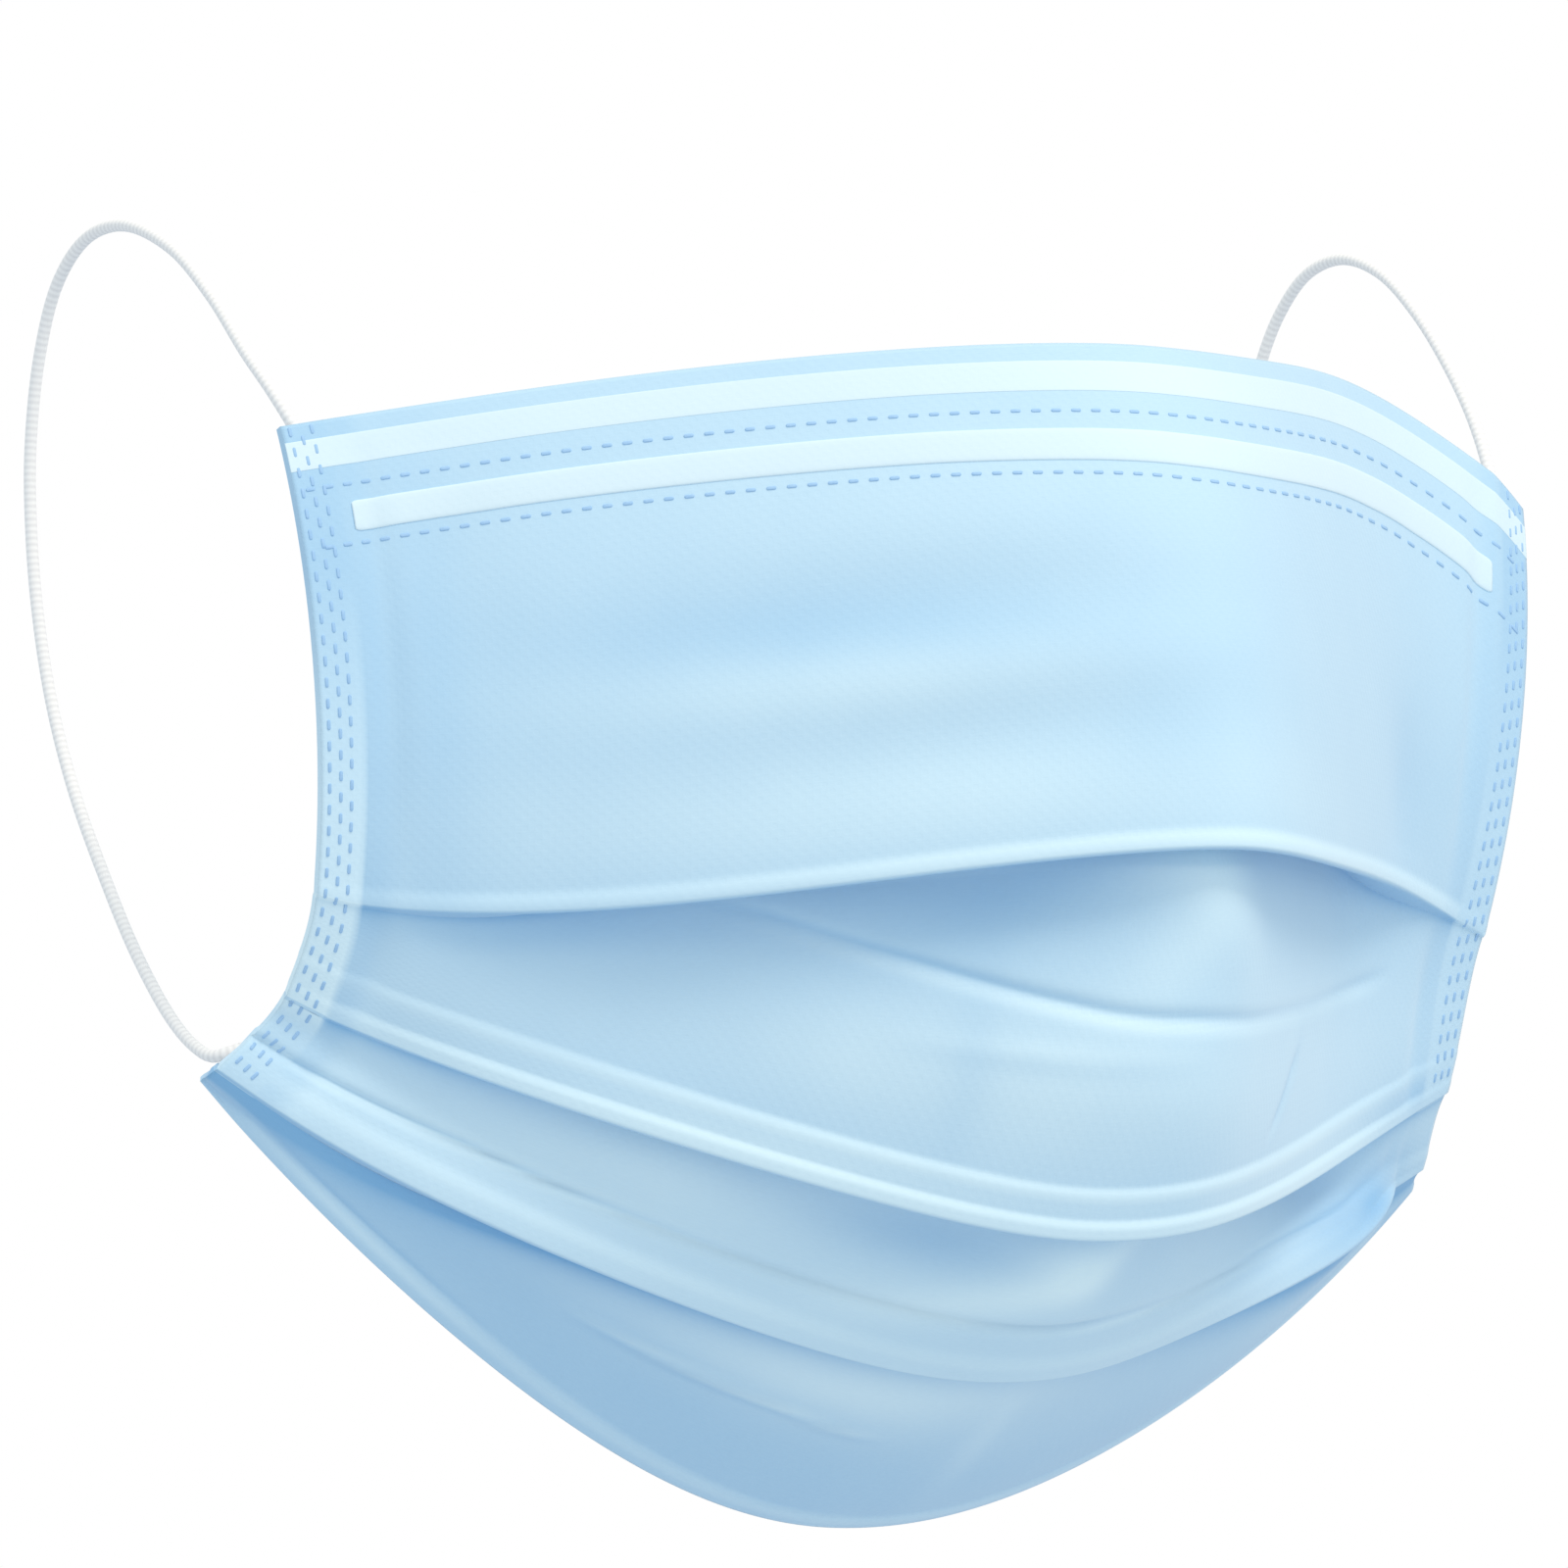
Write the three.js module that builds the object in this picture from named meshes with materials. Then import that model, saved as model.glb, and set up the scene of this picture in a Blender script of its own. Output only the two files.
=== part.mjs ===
// Pleated face mask, shown in the bent form it has when worn.
// Millimetres, +Z up, the front of the mask faces -Y. The origin is on the inner side of the top
// edge, in the middle, where the mask sits on the bridge of the nose.
import * as THREE from "three";

// Driving sizes of the cloth, in millimetres
const HALF_SPAN = 75.35; // half the distance between the two upper corners
const REACH = 50.5; // from the line of the corners forward to the first pleat
const DROP = 101.6; // from the line of the corners down to the bottom edge
const WALL = 1.0; // thickness of the cloth
const HEM_WALL = 1.7; // thickness where the bottom edge is folded over
const BEND = 0.9; // radius of a fold, on the middle of the wall
const GAP = 0.3; // clearance between two pieces that touch
const WELD_AT = 0.94; // where the flat band of a side weld starts, as a share of the half width
const WELD_TURN = 11; // angle in degrees by which that band stands back from straight sideways
const GATHER = 0.6; // depth of the groove that runs beside each side weld
const GATHER_AT = 0.905; // where that groove runs, as a share of the half width
const GATHER_HALF = 0.022; // and its half width, as a share of the half width
const COLUMNS = 13; // columns of cloth from the middle to a side weld

// Strips on the upper part of the cloth, measured down from the top edge
const BAND_FROM = 1.7;
const BAND_TO = 4.55;
const WIRE_FROM = 8.05;
const WIRE_TO = 10.95;
const WIRE_END = 0.93; // where the nose wire stops, as a share of the half width
const STRIP_THICK = 0.4;

// Ear loops
const CORD = 1.2; // diameter of the elastic
const CORD_SIDES = 8;
const CORD_STEPS = 56;

// The five lines that run across the mask, from the top edge to the bottom edge, as they are
// seen on the outer face. Half is a share of HALF_SPAN, out a share of REACH and down a share of
// DROP, each at the left side, the right side and in the middle. Round is how blunt the line's
// middle is, cheek and sag fill it out between middle and side, and lean moves its lowest point.
// Weld is 1 where the line ends in the flat band of the side weld.
const LINES = [
  { name: "top_edge", halfLeft: 1.006, halfRight: 0.992, outLeft: 0.015, outRight: 0.016, outMid: 0.714,
    outRound: 0.177, cheekLeft: -0.059, cheekRight: -0.131, downLeft: 0.012, downRight: -0.01,
    downMid: -0.083, downRound: 1.2, sagLeft: 0.002, sagRight: -0.057, lean: -0.001, weld: 1 },
  { name: "first_lip", halfLeft: 0.94, halfRight: 0.934, outLeft: 0, outRight: -0.001, outMid: 0.97,
    outRound: 0.16, cheekLeft: -0.038, cheekRight: -0.067, downLeft: 0.441, downRight: 0.411,
    downMid: 0.392, downRound: 0.544, sagLeft: 0.03, sagRight: -0.024, lean: 0.057, weld: 1 },
  { name: "second_lip", halfLeft: 0.935, halfRight: 0.93, outLeft: -0.114, outRight: -0.111, outMid: 0.737,
    outRound: 0.16, cheekLeft: -0.049, cheekRight: -0.071, downLeft: 0.531, downRight: 0.561,
    downMid: 0.751, downRound: 0.171, sagLeft: 0, sagRight: 0.024, lean: -0.098, weld: 1 },
  { name: "third_lip", halfLeft: 1.008, halfRight: 0.95, outLeft: -0.181, outRight: -0.225, outMid: 0.396,
    outRound: 0.16, cheekLeft: -0.049, cheekRight: 0.113, downLeft: 0.597, downRight: 0.633,
    downMid: 0.876, downRound: 0.247, sagLeft: 0.007, sagRight: 0.014, lean: -0.086, weld: 1 },
  { name: "bottom_edge", halfLeft: 1.005, halfRight: 0.973, outLeft: -0.242, outRight: -0.301, outMid: -0.15,
    outRound: 0.449, cheekLeft: 0.009, cheekRight: -0.009, downLeft: 0.606, downRight: 0.65,
    downMid: 1, downRound: 0.529, sagLeft: 0.009, sagRight: 0.028, lean: -0.062, weld: 0 },
];

// The four panels between those lines. Arch is the angle in degrees by which a panel leaves its
// upper line outwards, and tuck the angle by which it turns in at its lower line, in the middle
// of the mask and at its side. Steps is the number of stations down the panel.
const PANELS = [
  { arch: 14, archSide: 15.5, tuck: 13, tuckSide: 15.5, steps: 9, gather: 1.0 },
  { arch: 0, archSide: 0, tuck: 15, tuckSide: 6, steps: 8, gather: 0.55 },
  { arch: 0, archSide: 0, tuck: 12, tuckSide: 6, steps: 4, gather: 0.0 },
  { arch: 0, archSide: 0, tuck: 16, tuckSide: 4, steps: 6, gather: 0.0 },
];

// The pleat under each lip: how far the cloth runs back in, the angle of the fold and the angle
// at which the next panel starts, in the middle and where the side weld holds the pleat shut.
const PLEATS = [
  { back: 5.2, backSide: 0.2, fold: 116, foldSide: 32, next: -8, nextSide: 8 },
  { back: 4.4, backSide: 0.2, fold: 112, foldSide: 34, next: 6, nextSide: 12 },
  { back: 2.2, backSide: 0.1, fold: 100, foldSide: 30, next: 12, nextSide: 18 },
];

// Soft dents and swells: the panel, the place across (share of the half width) and down (share
// of the panel), the half sizes, the slant, and the height, which is negative for a dent.
const RELIEF = [
  { panel: 0, across: -0.3, down: 0.5, halfAcross: 0.3, halfDown: 0.1, slant: 0.05, height: -0.9 },
  { panel: 0, across: -0.26, down: 0.76, halfAcross: 0.26, halfDown: 0.1, slant: -0.1, height: -0.8 },
  { panel: 0, across: -0.34, down: 0.63, halfAcross: 0.26, halfDown: 0.08, slant: 0, height: 0.5 },
  { panel: 0, across: -0.83, down: 0.4, halfAcross: 0.07, halfDown: 0.3, slant: 0, height: -0.8 },
  { panel: 0, across: 0.6, down: 0.86, halfAcross: 0.12, halfDown: 0.12, slant: 0.2, height: -0.9 },
  { panel: 1, across: -0.1, down: 0.42, halfAcross: 0.35, halfDown: 0.14, slant: 0.25, height: 0.9 },
  { panel: 1, across: -0.62, down: 0.55, halfAcross: 0.14, halfDown: 0.3, slant: 0, height: -0.9 },
  { panel: 3, across: -0.3, down: 0.55, halfAcross: 0.3, halfDown: 0.25, slant: 0.2, height: -0.8 },
];

// Centre lines of the two ear loops, from the upper corner round to the lower one: sideways,
// forward and up from the middle of the corner line.
const LEFT_LOOP = [
  { side: -71.1, out: 0.6, up: -6.9 },
  { side: -71.9, out: -0.1, up: -3.8 },
  { side: -72.9, out: -1.2, up: -0.8 },
  { side: -73.7, out: -3.6, up: 2.7 },
  { side: -73.9, out: -7.6, up: 6.7 },
  { side: -73.9, out: -13.3, up: 12.6 },
  { side: -73.8, out: -20.2, up: 17.9 },
  { side: -73.7, out: -28.4, up: 20.9 },
  { side: -73.7, out: -34.6, up: 20.2 },
  { side: -73.7, out: -39.2, up: 16.6 },
  { side: -73.7, out: -42.2, up: 10.2 },
  { side: -73.7, out: -43.8, up: 1.2 },
  { side: -73.7, out: -43.6, up: -7.2 },
  { side: -73.7, out: -42.3, up: -15.6 },
  { side: -73.7, out: -39.9, up: -24.1 },
  { side: -73.7, out: -36.2, up: -32.4 },
  { side: -73.8, out: -30.9, up: -40.9 },
  { side: -73.9, out: -25.3, up: -48.7 },
  { side: -74.0, out: -19.5, up: -55.0 },
  { side: -74.1, out: -15.5, up: -57.9 },
  { side: -74.0, out: -12.6, up: -59.1 },
  { side: -73.4, out: -11.0, up: -58.9 },
  { side: -72.4, out: -10.3, up: -58.5 },
  { side: -71.3, out: -9.95, up: -58.1 },
];
const RIGHT_LOOP = [
  { side: 70.7, out: 0.9, up: -6.7 },
  { side: 71.3, out: 0.7, up: -4.6 },
  { side: 72.1, out: -0.1, up: -1.6 },
  { side: 73.0, out: -1.4, up: 1.6 },
  { side: 73.6, out: -3.1, up: 5.2 },
  { side: 73.8, out: -5.8, up: 10.6 },
  { side: 73.8, out: -9.6, up: 16.3 },
  { side: 73.7, out: -14.6, up: 22.2 },
  { side: 73.7, out: -20.2, up: 26.7 },
  { side: 73.7, out: -26.2, up: 28.7 },
  { side: 73.7, out: -31.8, up: 27.7 },
  { side: 73.7, out: -36.2, up: 24.1 },
  { side: 73.7, out: -39.6, up: 18.6 },
  { side: 73.7, out: -42.2, up: 10.6 },
  { side: 73.7, out: -43.6, up: 1.4 },
  { side: 73.7, out: -43.4, up: -7.6 },
  { side: 73.7, out: -42.0, up: -16.4 },
  { side: 73.6, out: -39.4, up: -25.0 },
  { side: 73.5, out: -35.6, up: -33.4 },
  { side: 73.3, out: -30.8, up: -41.4 },
  { side: 73.0, out: -25.6, up: -48.6 },
  { side: 72.5, out: -20.9, up: -54.6 },
  { side: 72.0, out: -17.3, up: -58.9 },
  { side: 71.4, out: -14.9, up: -61.1 },
  { side: 70.8, out: -13.5, up: -61.9 },
  { side: 69.9, out: -12.5, up: -62.4 },
  { side: 68.9, out: -12.0, up: -62.6 },
];

const SIDEWAYS = new THREE.Vector3(1, 0, 0);
const radians = (degrees) => (degrees * Math.PI) / 180;
const mix = (a, b, share) => a + (b - a) * share;

// 1 in the middle and 0 at the side, with a blunt top whose width is round
function blunt(share, round) {
  return 1 - (Math.sqrt(share * share + round * round) - round) / (Math.sqrt(1 + round * round) - round);
}

// How far the pleats are open: 1 over the middle, 0 where the side weld holds them
function openness(u) {
  const t = Math.min(1, Math.max(0, (1 - Math.abs(u) - 0.03) / 0.42));
  return t * t * (3 - 2 * t);
}

// The angle through which the cloth turns at a lip, and how far that carries it below its panel
function foldAngle(index, u) {
  return radians(mix(PLEATS[index].foldSide, PLEATS[index].fold, openness(u)));
}

function foldRadius(index) {
  return index === 2 ? 0.8 * BEND : BEND;
}

function foldShare(index, u) {
  return Math.sin(Math.min(foldAngle(index, u), Math.PI / 2));
}

function linePoint(line, u) {
  const a = u * u;
  const leaned = u - line.lean * (1 - a);
  const b = leaned * leaned;
  const outEnd = u > 0 ? line.outRight : line.outLeft;
  const downEnd = leaned > 0 ? line.downRight : line.downLeft;
  const half = u > 0 ? line.halfRight : line.halfLeft;
  const weldAt = line.weld ? WELD_AT : 1;
  const perShare = (HALF_SPAN * half * Math.tan(radians(WELD_TURN))) / REACH;
  const v = Math.min(1, Math.abs(u) / weldAt);
  const w = v * v;
  const cheek = u > 0 ? line.cheekRight : line.cheekLeft;
  const bandOut = outEnd + (1 - Math.max(Math.abs(u), weldAt)) * perShare;
  const out = mix(bandOut, line.outMid, blunt(v, line.outRound)) + cheek * 4 * w * (1 - w);
  const sag = leaned > 0 ? line.sagRight : line.sagLeft;
  const down = mix(downEnd, line.downMid, blunt(leaned, line.downRound)) + sag * 4 * b * (1 - b);
  return new THREE.Vector3(HALF_SPAN * half * u, -REACH * out, -DROP * down);
}

function lineDirection(line, u) {
  const step = 0.004;
  return linePoint(line, u + step).sub(linePoint(line, u - step)).normalize();
}

function reliefAt(panel, u, s) {
  let height = 0;
  for (const r of RELIEF) {
    if (r.panel !== panel) continue;
    const x = (u - r.across) / r.halfAcross;
    const y = (s - r.down - r.slant * (u - r.across)) / r.halfDown;
    height += r.height * Math.exp(-x * x - y * y);
  }
  const beside = (Math.abs(u) - GATHER_AT) / GATHER_HALF;
  const along = Math.sin(Math.PI * Math.min(1, Math.max(0, s)));
  return height - GATHER * PANELS[panel].gather * Math.exp(-beside * beside) * along;
}

// One panel of one column of cloth, from its start to its lower line, as a smooth curve on the
// middle of the wall. A panel that ends in a lip stops short of the line by the size of the fold.
function panelCurve(index, start, startDirection, u) {
  const panel = PANELS[index];
  const line = LINES[index + 1];
  const end = linePoint(line, u);
  const across = lineDirection(line, u);
  const hasLip = index < PANELS.length - 1;
  const straight = end.clone().sub(start).normalize();
  end.addScaledVector(straight.clone().cross(across).normalize(), -(hasLip ? WALL : HEM_WALL) / 2);
  if (hasLip) end.addScaledVector(straight, -(foldRadius(index) + WALL / 2) * foldShare(index, u));
  const chord = end.clone().sub(start);
  const length = chord.length();
  chord.normalize();
  const outward = chord.clone().cross(SIDEWAYS).normalize();
  const side = u * u;
  const arch = radians(mix(panel.arch, panel.archSide, side));
  const tuck = radians(mix(panel.tuck, panel.tuckSide, side));
  const first = startDirection
    ? startDirection.clone()
    : chord.clone().multiplyScalar(Math.cos(arch)).addScaledVector(outward, Math.sin(arch));
  const last = chord.clone().multiplyScalar(Math.cos(tuck)).addScaledVector(outward, -Math.sin(tuck));
  const curve = new THREE.CubicBezierCurve3(
    start.clone(),
    start.clone().addScaledVector(first, length / 3),
    end.clone().addScaledVector(last, -length / 3),
    end,
  );
  const normal = last.clone().cross(across).normalize();
  return { curve, length, last, normal };
}

// The first panel starts at the top edge, half a wall inside the line seen from the front
function topStart(u) {
  const start = linePoint(LINES[0], u);
  const down = linePoint(LINES[1], u).sub(start).normalize();
  return start.addScaledVector(down.cross(lineDirection(LINES[0], u)).normalize(), -WALL / 2);
}

// The whole profile of one column, from the top edge to the bottom edge: points on the middle of
// the wall, with the wall's thickness at each.
function column(u) {
  const open = openness(u);
  const points = [];
  let start = topStart(u);
  let direction = null;
  for (let k = 0; k < PANELS.length; k++) {
    const { curve, last, normal } = panelCurve(k, start, direction, u);
    const steps = PANELS[k].steps;
    for (let j = k === 0 ? 0 : 1; j <= steps; j++) {
      const s = j / steps;
      const fade = Math.sin(Math.PI * s);
      const p = curve.getPoint(s);
      p.addScaledVector(normal, reliefAt(k, u, s) * Math.min(1, 2 * fade));
      const hem = k === PANELS.length - 1 && j >= steps - 1;
      points.push({ p, wall: hem ? HEM_WALL : WALL });
    }
    if (k === PLEATS.length) break;
    const pleat = PLEATS[k];
    const fold = foldAngle(k, u);
    const next = radians(mix(pleat.nextSide, pleat.next, open));
    const back = mix(pleat.backSide, pleat.back, open);
    const radius = foldRadius(k);
    const heading = (angle) =>
      last.clone().multiplyScalar(Math.cos(angle)).addScaledVector(normal, -Math.sin(angle));
    let at = curve.getPoint(1);
    const turn = (from, to) => {
      for (let j = 1; j <= 3; j++) {
        const a = mix(from, to, (j - 1) / 3);
        const b = mix(from, to, j / 3);
        const reach = 2 * radius * Math.sin(Math.abs(b - a) / 2);
        at = at.clone().addScaledVector(heading((a + b) / 2), reach);
        points.push({ p: at, wall: WALL });
      }
    };
    turn(0, fold);
    at = at.clone().addScaledVector(heading(fold), back);
    points.push({ p: at, wall: WALL });
    turn(fold, next);
    start = at;
    direction = heading(next);
  }
  return points;
}

// Columns stand closer together towards the sides, where the cloth is gathered, and one stands
// at each edge of a side weld's band
const stations = [];
for (let i = -COLUMNS; i <= COLUMNS; i++) {
  const share = 1 - Math.pow(1 - Math.abs(i) / COLUMNS, 1.2);
  stations.push(Math.sign(i) * share * WELD_AT);
}
stations.unshift(-1);
stations.push(1);

// Closed solid between an outer and an inner grid of points with the same rows and columns
function solidBetween(outer, inner) {
  const columns = outer.length;
  const rows = outer[0].length;
  const positions = [];
  for (const grid of [outer, inner]) {
    for (const list of grid) {
      for (const p of list) positions.push(p.x, p.y, p.z);
    }
  }
  const id = (layer, i, j) => layer * columns * rows + i * rows + j;
  const faces = [];
  const quad = (a, b, c, d) => faces.push(a, b, c, a, c, d);
  for (let i = 0; i < columns - 1; i++) {
    for (let j = 0; j < rows - 1; j++) {
      quad(id(0, i, j), id(0, i, j + 1), id(0, i + 1, j + 1), id(0, i + 1, j));
      quad(id(1, i, j), id(1, i + 1, j), id(1, i + 1, j + 1), id(1, i, j + 1));
    }
    quad(id(0, i, 0), id(0, i + 1, 0), id(1, i + 1, 0), id(1, i, 0));
    quad(id(0, i, rows - 1), id(1, i, rows - 1), id(1, i + 1, rows - 1), id(0, i + 1, rows - 1));
  }
  for (let j = 0; j < rows - 1; j++) {
    quad(id(0, 0, j), id(1, 0, j), id(1, 0, j + 1), id(0, 0, j + 1));
    const n = columns - 1;
    quad(id(0, n, j), id(0, n, j + 1), id(1, n, j + 1), id(1, n, j));
  }
  const geometry = new THREE.BufferGeometry();
  geometry.setAttribute("position", new THREE.Float32BufferAttribute(positions, 3));
  geometry.setIndex(faces);
  return geometry;
}

// Outward normals of a grid of points, from its neighbours in both directions
function normalsOf(grid) {
  const columns = grid.length;
  const rows = grid[0].length;
  return grid.map((list, i) =>
    list.map((point, j) => {
      const down = grid[i][Math.min(rows - 1, j + 1)].clone().sub(grid[i][Math.max(0, j - 1)]);
      const across = grid[Math.min(columns - 1, i + 1)][j].clone().sub(grid[Math.max(0, i - 1)][j]);
      return down.cross(across).normalize();
    }),
  );
}

const profiles = stations.map(column);
const middle = profiles.map((list) => list.map((entry) => entry.p));
const normals = normalsOf(middle);
const shifted = (side) =>
  profiles.map((list, i) =>
    list.map((entry, j) => entry.p.clone().addScaledVector(normals[i][j], (side * entry.wall) / 2)),
  );
const panelGeometry = solidBetween(shifted(1), shifted(-1));

// A flat strip that lies on the outer face of the upper panel, between two distances from the
// top edge and between two places across
function strip(from, to, reach) {
  const outer = [];
  const inner = [];
  const down = 2;
  const base = WALL / 2 + GAP;
  const across = [-reach, ...stations.filter((u) => Math.abs(u) < reach - 0.004), reach];
  for (const u of across) {
    const outerList = [];
    const innerList = [];
    for (let j = 0; j <= down; j++) {
      const at = (v) => {
        const { curve, length, normal } = panelCurve(0, topStart(v), null, v);
        const s = mix(from, to, j / down) / length;
        const fade = Math.min(1, 2 * Math.sin(Math.PI * s));
        return curve.getPoint(s).addScaledVector(normal, reliefAt(0, v, s) * fade);
      };
      const p = at(u);
      const sideways = at(u + 0.01).sub(at(u - 0.01));
      const { curve, length } = panelCurve(0, topStart(u), null, u);
      const tangent = curve.getTangent(mix(from, to, j / down) / length);
      const normal = tangent.cross(sideways).normalize();
      innerList.push(p.clone().addScaledVector(normal, base));
      outerList.push(p.clone().addScaledVector(normal, base + STRIP_THICK));
    }
    outer.push(outerList);
    inner.push(innerList);
  }
  return solidBetween(outer, inner);
}

// An elastic cord along its centre line
function cord(table) {
  const points = table.map((row) => new THREE.Vector3(row.side, -row.out, row.up));
  const path = new THREE.CatmullRomCurve3(points, false, "centripetal");
  const section = new THREE.Shape();
  for (let i = 0; i < CORD_SIDES; i++) {
    const angle = (2 * Math.PI * i) / CORD_SIDES;
    const x = (CORD / 2) * Math.cos(angle);
    const y = (CORD / 2) * Math.sin(angle);
    if (i === 0) section.moveTo(x, y);
    else section.lineTo(x, y);
  }
  section.closePath();
  return new THREE.ExtrudeGeometry(section, { steps: CORD_STEPS, curveSegments: 1, extrudePath: path });
}

// Materials
const cloth = new THREE.MeshStandardMaterial({ color: 0xb9dcf0, roughness: 0.85, metalness: 0 });
const paleStrip = new THREE.MeshStandardMaterial({ color: 0xdff2fa, roughness: 0.75, metalness: 0 });
const elastic = new THREE.MeshStandardMaterial({ color: 0xf1f1f1, roughness: 0.8, metalness: 0 });

// The middle of the top edge, on its inner side, is moved to the origin
const topMiddle = linePoint(LINES[0], 0);
const mask = new THREE.Group();
mask.name = "face_mask";
function add(name, geometry, material) {
  geometry.translate(0, -topMiddle.y - WALL / 2, -topMiddle.z);
  const mesh = new THREE.Mesh(geometry, material);
  mesh.name = name;
  mask.add(mesh);
}

add("pleated_panel", panelGeometry, cloth);
add("top_hem_band", strip(BAND_FROM, BAND_TO, 0.995), paleStrip);
add("nose_wire", strip(WIRE_FROM, WIRE_TO, WIRE_END), paleStrip);
add("ear_loop_left", cord(LEFT_LOOP), elastic);
add("ear_loop_right", cord(RIGHT_LOOP), elastic);

export default mask;
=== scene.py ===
import math

import bpy
import numpy as np
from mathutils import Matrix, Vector


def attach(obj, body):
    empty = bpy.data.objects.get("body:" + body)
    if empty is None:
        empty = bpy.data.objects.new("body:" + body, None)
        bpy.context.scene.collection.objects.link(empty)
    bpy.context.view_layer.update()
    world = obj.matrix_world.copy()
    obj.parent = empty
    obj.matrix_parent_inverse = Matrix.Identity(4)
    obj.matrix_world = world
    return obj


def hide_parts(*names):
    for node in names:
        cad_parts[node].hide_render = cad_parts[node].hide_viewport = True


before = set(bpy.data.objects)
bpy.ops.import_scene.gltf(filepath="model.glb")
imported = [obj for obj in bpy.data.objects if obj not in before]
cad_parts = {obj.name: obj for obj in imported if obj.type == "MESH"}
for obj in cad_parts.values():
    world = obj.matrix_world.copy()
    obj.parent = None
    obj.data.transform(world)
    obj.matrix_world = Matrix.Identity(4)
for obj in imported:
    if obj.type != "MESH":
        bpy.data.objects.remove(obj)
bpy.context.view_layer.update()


# View of the mask
# The mask is seen from the left of its front and a little from below, through a long lens that
# shows its near and its far side almost at one scale.
CAMERA_AZIMUTH = -37.0
CAMERA_ELEVATION = -5.2
CAMERA_PLACE = (-0.8569, -1.0797, -0.1668)
CAMERA_LENS = 337.5
SENSOR = 36.0

camera = bpy.data.objects.new("camera", bpy.data.cameras.new("camera"))
camera.data.lens = CAMERA_LENS
camera.data.sensor_width = SENSOR
camera.data.clip_start = 0.05
camera.data.clip_end = 20.0
camera.location = CAMERA_PLACE
turn, rise = math.radians(CAMERA_AZIMUTH), math.radians(CAMERA_ELEVATION)
toward_camera = Vector((
    math.sin(turn) * math.cos(rise), -math.cos(turn) * math.cos(rise), math.sin(rise),
))
camera.rotation_mode = "QUATERNION"
camera.rotation_quaternion = (-toward_camera).to_track_quat("-Z", "Y")
bpy.context.scene.collection.objects.link(camera)
bpy.context.scene.camera = camera


# Ear loops
# Two lengths of round knitted elastic, 1.2 mm thick. Each end is welded to the inner side of a
# corner of the cloth, and the loop between them stands open as it does behind an ear.
MM = 0.001
CORD = 1.2
CORD_ROUND = 4.0
CORD_SIDES = 16
CORD_STEPS = 420
ROUTE_STEPS = 40
RIB_PITCH = 0.62
RIB_DEPTH = 0.008
PRESSED_LENGTH = 3.5
PRESSED_WIDER = 0.25
PRESSED_THINNER = 0.35

# From the middle of the line of the upper corners, which shapes are measured from, to the part's
# own origin on the inner side of the top edge
CORNERS_TO_ORIGIN = np.array([0.0, 35.557, -8.4328])

# Centre lines, as sideways, forward and up from the middle of the line of the upper corners
LEFT_ROUTE = [
    (-71.1, 0.6, -6.9), (-71.9, -0.1, -3.8), (-72.9, -1.2, -0.8), (-73.7, -3.6, 2.7),
    (-73.9, -7.6, 6.7), (-73.9, -13.3, 12.6), (-73.8, -20.2, 17.9), (-73.7, -28.4, 20.9),
    (-73.7, -34.6, 20.2), (-73.7, -39.2, 16.6), (-73.7, -42.2, 10.2), (-73.7, -43.8, 1.2),
    (-73.7, -43.6, -7.2), (-73.7, -42.3, -15.6), (-73.7, -39.9, -24.1), (-73.7, -36.2, -32.4),
    (-73.8, -30.9, -40.9), (-73.9, -25.3, -48.7), (-74.0, -19.5, -55.0), (-74.1, -15.5, -57.9),
    (-74.0, -12.6, -59.1), (-73.4, -11.0, -58.9), (-72.4, -10.3, -58.5), (-71.3, -9.95, -58.1),
]
RIGHT_ROUTE = [
    (70.7, 0.9, -6.7), (71.3, 0.7, -4.6), (72.1, -0.1, -1.6), (73.0, -1.4, 1.6),
    (73.6, -3.1, 5.2), (73.8, -5.8, 10.6), (73.8, -9.6, 16.3), (73.7, -14.6, 22.2),
    (73.7, -20.2, 26.7), (73.7, -26.2, 28.7), (73.7, -31.8, 27.7), (73.7, -36.2, 24.1),
    (73.7, -39.6, 18.6), (73.7, -42.2, 10.6), (73.7, -43.6, 1.4), (73.7, -43.4, -7.6),
    (73.7, -42.0, -16.4), (73.6, -39.4, -25.0), (73.5, -35.6, -33.4), (73.3, -30.8, -41.4),
    (73.0, -25.6, -48.6), (72.5, -20.9, -54.6), (72.0, -17.3, -58.9), (71.4, -14.9, -61.1),
    (70.8, -13.5, -61.9), (69.9, -12.5, -62.4), (68.9, -12.0, -62.6),
]


def smooth_route(rows, count):
    """Points at even distances on a smooth line through the rows."""
    points = np.array([(side, -out, up) for side, out, up in rows]) + CORNERS_TO_ORIGIN
    points = np.vstack([2 * points[0] - points[1], points, 2 * points[-1] - points[-2]])
    found = []
    for p0, p1, p2, p3 in zip(points, points[1:], points[2:], points[3:]):
        d0, d1, d2 = (max(np.linalg.norm(b - a), 1e-6) ** 0.5 for a, b in ((p0, p1), (p1, p2), (p2, p3)))
        leave = ((p1 - p0) / d0 - (p2 - p0) / (d0 + d1) + (p2 - p1) / d1) * d1
        arrive = ((p2 - p1) / d1 - (p3 - p1) / (d1 + d2) + (p3 - p2) / d2) * d1
        t = np.linspace(0, 1, ROUTE_STEPS, endpoint=False)[:, None]
        found.append(
            (2 * t**3 - 3 * t**2 + 1) * p1 + (t**3 - 2 * t**2 + t) * leave
            + (3 * t**2 - 2 * t**3) * p2 + (t**3 - t**2) * arrive
        )
    fine = np.vstack([*found, points[-2][None]])
    along = np.concatenate([[0], np.cumsum(np.linalg.norm(np.diff(fine, axis=0), axis=1))])
    even = np.linspace(0, along[-1], count)
    return np.stack([np.interp(even, along, fine[:, k]) for k in range(3)], axis=1), even


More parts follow.
